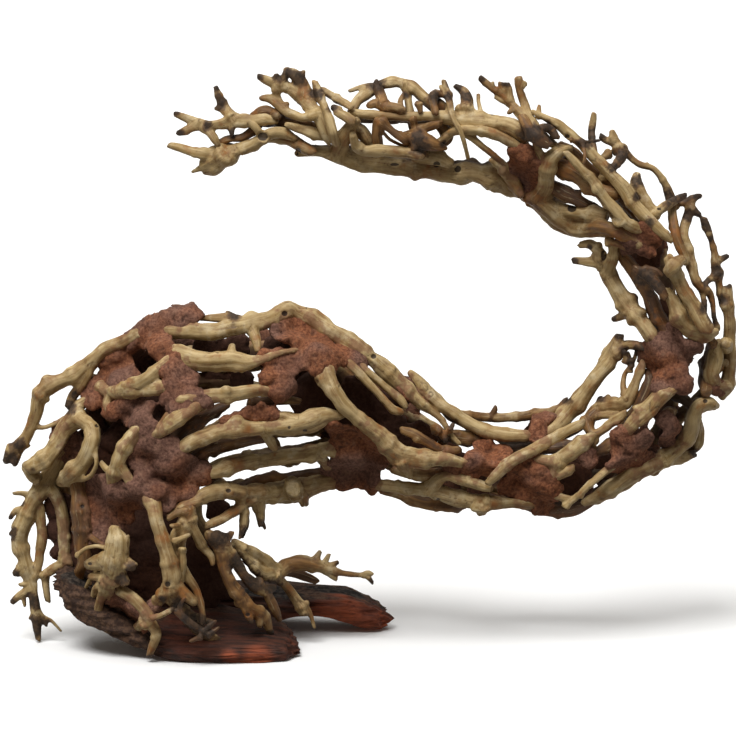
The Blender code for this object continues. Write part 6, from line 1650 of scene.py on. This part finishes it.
class Finish:
    """A material of one Principled shader. Its colour is built up in layers by cover."""

    def __init__(self, name):
        self.material = bpy.data.materials.new(name)
        self.material.use_nodes = True
        self.tree = self.material.node_tree
        self.shader = self.tree.nodes["Principled BSDF"]
        self.place = self.node("ShaderNodeTexCoord", output="Object")
        self.colour = None

    def node(self, kind, settings=None, inputs=None, output=0):
        """Add a node: its settings first, then the values or wires of its sockets."""
        node = self.tree.nodes.new(kind)
        for key, value in (settings or {}).items():
            setattr(node, key, value)
        for key, value in (inputs or {}).items():
            self.feed(node.inputs[key], value)
        return Wire(self, node.outputs[output])

    def feed(self, socket, value):
        """Link a wire to a socket, or set its value."""
        if isinstance(value, Wire):
            self.tree.links.new(value.socket, socket)
        else:
            socket.default_value = value

    def known(self, name, output="Fac"):
        """What the vertices of a piece know about themselves."""
        return self.node("ShaderNodeAttribute", {"attribute_name": name}, output=output)

    def stretched(self, vector, scale):
        """A vector with each of its three numbers scaled."""
        return self.node("ShaderNodeVectorMath", {"operation": "MULTIPLY"}, {0: vector, 1: scale})

    def noise(self, vector, scale, detail=3.0, roughness=0.55, distortion=0.0):
        """Cloudy noise from 0 to 1, mostly near its middle."""
        return self.node("ShaderNodeTexNoise", {}, {
            "Vector": vector, "Scale": scale, "Detail": detail, "Roughness": roughness,
            "Distortion": distortion})

    def blend(self, share, one, two):
        """A mix of two colours: share 0 is the first and 1 the second."""
        return self.node("ShaderNodeMix", {"data_type": "RGBA"}, {0: share, 6: one, 7: two}, output=2)

    def cover(self, share, colour):
        """Lay a colour over the layers so far, as densely as its share says."""
        self.colour = self.blend(share, self.colour, colour)

    def finish(self, roughness, height, depth, strength, gloss=0.5):
        """Wire up the colour, the roughness, the relief of a height and the gloss."""
        relief = self.node("ShaderNodeBump", {}, {"Height": height, "Distance": depth,
                                                   "Strength": strength})
        for name, value in (("Base Color", self.colour), ("Roughness", roughness),
                            ("Normal", relief), ("Specular IOR Level", gloss)):
            self.feed(self.shader.inputs[name], value)
        return self.material


def root_wood(name, browner):
    """Dry peeled root: pale tan or brown, softly streaked along the grain, with amber and brown patches,
    dark specks and cracks, dust by the paste and charred ends, and painted shade in the grooves, in the
    holes and inside the bundle."""
    wood = Finish(name)
    grain = wood.known("grain", "Vector")
    tone = wood.known("tone")
    char = wood.known("char")
    fibres = wood.noise(wood.stretched(grain, (0.45, 0.45, 0.05)), 1.0, 5.0, 0.6)
    hairs = wood.noise(wood.stretched(grain, (2.4, 2.4, 0.16)), 1.0, 3.0, 0.6)
    streaks = wood.noise(wood.stretched(grain, (0.9, 0.9, 0.035)), 1.0, 4.0, 0.6)
    specks = wood.noise(wood.stretched(grain, (0.55, 0.55, 0.3)), 1.0, 5.0, 0.7)
    patches = wood.noise(wood.place, 48.0, 3.0, 0.55)
    clouds = wood.noise(wood.place, 105.0, 4.0, 0.6)
    blots = wood.noise(wood.place, 230.0, 4.0, 0.65)
    grit = wood.noise(wood.place, 640.0, 3.0, 0.6)
    # The wood itself: pale to deep brown, then dark brown, amber and bleached patches.
    wood.colour = wood.blend(fibres.above(0.3, 0.7), srgb(158, 129, 80), srgb(199, 175, 128))
    deep = wood.blend(fibres.above(0.3, 0.7), srgb(90, 60, 34), srgb(146, 107, 61))
    browning = tone * 1.2 + (patches - 0.5) * 2.6 + (clouds - 0.5) * 1.3 + browner - 0.12
    browning = browning.above(0.0, 1.0)
    wood.cover(browning, deep)
    dark = (tone + (patches - 0.5) * 0.5).above(0.72, 0.95)
    wood.cover(dark * 0.85, wood.blend(fibres, srgb(40, 27, 19), srgb(86, 56, 36)))
    wood.cover(clouds.above(0.54, 0.68) * patches.above(0.42, 0.58) * 0.6, srgb(158, 98, 42))
    wood.cover((1.0 - clouds).above(0.54, 0.66) * (1.0 - browning) * 0.4, srgb(214, 198, 162))
    # Marks along the grain: hairs, dark and pale streaks, blots, specks and cracks; and painted shade in the
    # grooves.
    wood.cover(hairs.above(0.58, 0.74) * 0.25, srgb(100, 72, 42))
    wood.cover(streaks.above(0.55, 0.66) * 0.5, srgb(120, 84, 48))
    wood.cover((1.0 - streaks).above(0.58, 0.70) * 0.35, srgb(212, 190, 146))
    wood.cover(blots.above(0.60, 0.70) * 0.5, srgb(96, 64, 38))
    marks = (specks.above(0.67, 0.74) + wood.known("crack") * 0.8).above(0.0, 1.0)
    wood.cover(marks * 0.7, srgb(60, 40, 26))
    # Painted shade in the low places of the grain.
    wood.cover(wood.known("groove") * blots.above(0.3, 0.6) * 0.5, srgb(98, 70, 42))
    wood.cover(wood.known("knot") * 0.75, srgb(70, 44, 26))
    # What happened to it: worn ends, dust by the paste and charring; and painted shade inside the bundle and
    # in the holes.
    worn = (wood.known("end") * 0.4 + clouds * 1.2).above(0.4, 1.6)
    wood.cover((1.0 - worn) * 0.4, srgb(92, 68, 44))
    dusty = (wood.known("dust") * 0.9 + (blots - 0.5) * 1.3 + (grit - 0.5) * 0.7).above(0.3, 0.95)
    wood.cover(dusty * 0.72, wood.blend(grit, srgb(82, 50, 38), srgb(160, 116, 84)))
    # Painted shade: places deep in the bundle, or facing into it, turn dark brown.
    shade = (wood.known("inner") * 1.15 + (clouds - 0.5) * 0.5).above(0.1, 0.95)
    wood.cover(shade * 0.88, srgb(50, 31, 21))
    wood.cover((char + (clouds - 0.5) * 0.6).above(0.0, 0.5) * 0.75, srgb(88, 60, 38))
    sooty = (char + (blots - 0.5) * 1.3 + (fibres - 0.5) * 0.5).above(0.35, 0.95)
    wood.cover(sooty * 0.92, wood.blend(blots.above(0.42, 0.62), srgb(32, 24, 18), srgb(76, 58, 42)))
    # Painted shade in the holes and dark cracks.
    wood.cover(wood.known("hole").above(0.3, 0.6) * 0.9, srgb(34, 21, 14))
    roughness = 0.5 + fibres * 0.22 + dusty * 0.2 + sooty * 0.1
    height = fibres * 0.6 + hairs * 0.25 + specks.above(0.66, 0.74) * -0.6 + blots * 0.35
    return wood.finish(roughness, height, 0.0004, 0.8, 0.32)


def dust_paste(name):
    """Wood dust set in glue: mauve-brown to brick mortar, speckled, darker in its pits, with painted shade
    deep inside the bundle.
    """
    paste = Finish(name)
    crumbs = paste.noise(paste.place, 640.0, 4.0, 0.65)
    clumps = paste.noise(paste.place, 190.0, 4.0, 0.6)
    broad = paste.noise(paste.place, 45.0, 3.0, 0.55)
    paste.colour = paste.blend(crumbs.above(0.34, 0.66), srgb(92, 64, 53), srgb(134, 98, 82))
    ruddy = paste.blend(crumbs.above(0.34, 0.66), srgb(104, 60, 40), srgb(152, 98, 66))
    paste.cover((paste.known("red") + (broad - 0.5) * 1.8).above(0.1, 0.9), ruddy)
    paste.cover(broad.above(0.5, 0.68) * 0.4, srgb(84, 54, 42))
    paste.cover(clumps.above(0.55, 0.72) * 0.5, srgb(70, 43, 34))
    paste.cover((1.0 - clumps).above(0.56, 0.72) * 0.35, srgb(158, 122, 98))
    paste.cover(crumbs.above(0.64, 0.74) * 0.45, srgb(178, 146, 118))
    paste.cover((1.0 - crumbs).above(0.62, 0.74) * 0.5, srgb(58, 36, 29))
    paste.cover(paste.known("pit") * 0.55, srgb(52, 32, 25))
    # Painted shade deep inside the bundle.
    paste.cover((paste.known("inner") * 1.1).above(0.1, 0.9) * 0.8, srgb(58, 34, 24))
    paste.cover(paste.known("char") * 0.6, srgb(48, 38, 32))
    return paste.finish(0.78 + crumbs * 0.18, crumbs * 0.8 + clumps * 0.8, 0.0007, 1.0, 0.22)


def red_slab(name):
    """Split red wood: dark rust and wine streaks along the slab, a weathered grey-brown top and
    left end, and black crusted patches."""
    wood = Finish(name)
    along = wood.stretched(wood.place, (0.09, 0.8, 1.0))
    streaks = wood.noise(along, 420.0, 5.0, 0.65, 0.25)
    lines = wood.noise(along, 1250.0, 3.0, 0.6)
    clouds = wood.noise(wood.place, 60.0, 4.0, 0.6)
    crust = wood.noise(wood.place, 330.0, 5.0, 0.7)
    wood.colour = wood.blend(streaks.above(0.36, 0.64), srgb(40, 24, 18), srgb(82, 46, 32))
    bright = wood.blend(streaks.above(0.3, 0.6), srgb(98, 47, 30), srgb(150, 76, 47))
    wood.cover(wood.known("bright"), bright)
    wood.cover(clouds.above(0.5, 0.66) * 0.5, srgb(84, 44, 32))
    wood.cover(lines.above(0.55, 0.7) * 0.6, srgb(44, 23, 18))
    top = (wood.known("top") + (clouds - 0.5) * 0.7).above(0.25, 0.75)
    wood.cover(top * 0.92, wood.blend(crust.above(0.4, 0.62), srgb(50, 35, 27), srgb(96, 72, 55)))
    sooty = (wood.known("char") + (crust - 0.5) * 0.6).above(0.25, 0.7)
    wood.cover(sooty * 0.95, wood.blend(crust.above(0.45, 0.62), srgb(30, 25, 22), srgb(74, 65, 57)))
    roughness = 0.6 + streaks * 0.2 + top * 0.12
    return wood.finish(roughness, streaks * 0.9 + lines * 0.4 + crust * 0.5, 0.0008, 1.0, 0.28)


def pale_floor(name):
    """Plain matt paper."""
    paper = Finish(name)
    fibre = paper.noise(paper.place, 900.0, 2.0, 0.5)
    paper.colour = paper.blend(fibre * 0.02, srgb(250, 250, 249), srgb(240, 240, 238))
    return paper.finish(0.95, fibre, 0.00002, 0.2)


# ---------------------------------------------------------------- stage

CAMERA_FAR = 6.0               # distance of the camera from its aim, m
CAMERA_AIM = (-0.00055, 0.002, 0.1546)    # what the camera looks at, m
FRAME_WIDTH = 0.4048           # width of the view at that distance, m
SENSOR = 36.0                  # mm
FLOOR_HALF = 6.0               # half the floor's side, m
ROOM_COLOUR = (1.0, 0.94, 0.86, 1.0)
ROOM_LIGHT = 0.18              # brightness of the room
# Lights: name, strength, softness in degrees, and where they shine from towards the middle.
LIGHTS = (("softbox", 2.75, 30, (-0.35, -0.75, 1.4)), ("overhead", 1.5, 80, (0.1, 0.15, 1.5)))


def aim(thing, target):
    """Turn a camera or light to look at a point."""
    thing.rotation_euler = (Vector(target) - thing.location).to_track_quat("-Z", "Y").to_euler()


def make_stage():
    """A pale floor, a soft light from the front left, a broad one overhead, and the camera."""
    corners = np.array([(-1, -1, 0), (1, -1, 0), (1, 1, 0), (-1, 1, 0)], float) * FLOOR_HALF / MM
    floor = put("floor", new_mesh("floor", corners, [[0, 1, 2, 3]]))
    floor.data.materials.append(pale_floor("pale_paper"))
    floor.visible_diffuse = False
    for name, strength, softness, place in LIGHTS:
        light = put(name, bpy.data.lights.new(name, "SUN"))
        light.data.energy = strength
        light.data.angle = math.radians(softness)
        light.location = place
        aim(light, (0.0, 0.0, 0.0))
    world = bpy.data.worlds.new("room")
    world.use_nodes = True
    room = world.node_tree.nodes["Background"]
    room.inputs["Color"].default_value = ROOM_COLOUR
    room.inputs["Strength"].default_value = ROOM_LIGHT
    scene = bpy.context.scene
    scene.world = world
    camera = put("camera", bpy.data.cameras.new("camera"))
    camera.data.sensor_width = SENSOR
    camera.data.lens = SENSOR * CAMERA_FAR / FRAME_WIDTH
    camera.location = Vector(CAMERA_AIM) - Vector(SIGHT) * CAMERA_FAR
    aim(camera, CAMERA_AIM)
    scene.camera = camera
    scene.view_settings.view_transform = "Standard"
    scene.view_settings.look = "None"


# ---------------------------------------------------------------- the whole

def main():
    """Set the stage, lay out the roots, then make the slabs, the paste and the roots."""
    make_stage()
    materials = {"pale_root_wood": root_wood("pale_root_wood", 0.0),
                 "brown_root_wood": root_wood("brown_root_wood", 0.3)}
    paste = dust_paste("wood_dust_paste")
    slab = red_slab("red_slab_wood")
    spine = spine_samples()
    strands = lay_out(spine)
    settle(strands, 0, 1.0, GAP, SETTLE_ROUNDS)
    loose = lay_out_loose(strands, spine)
    fixed = len(strands)
    strands += loose
    settle(strands, fixed, CLOSENESS, 0.0, LOOSE_ROUNDS)
    maps = surface_maps(strands, spine)
    for name in SLABS:
        make_slab(name, slab)
    pads = [pad_of(*spot, side, maps, name)
            for name, sides in PASTE.items() for side, spots in sides.items() for spot in spots]
    pads += sink_ends(strands, pads, maps)
    for name in PASTE:
        own = [pad for pad in pads if pad["lump"] == name]
        make_paste(name, own, maps, spine, paste)
    for name in sorted({strand["name"] for strand in strands}):
        own = [strand for strand in strands if strand["name"] == name]
        make_root(name, own, spine, pads, maps["foremost"], materials)


main()
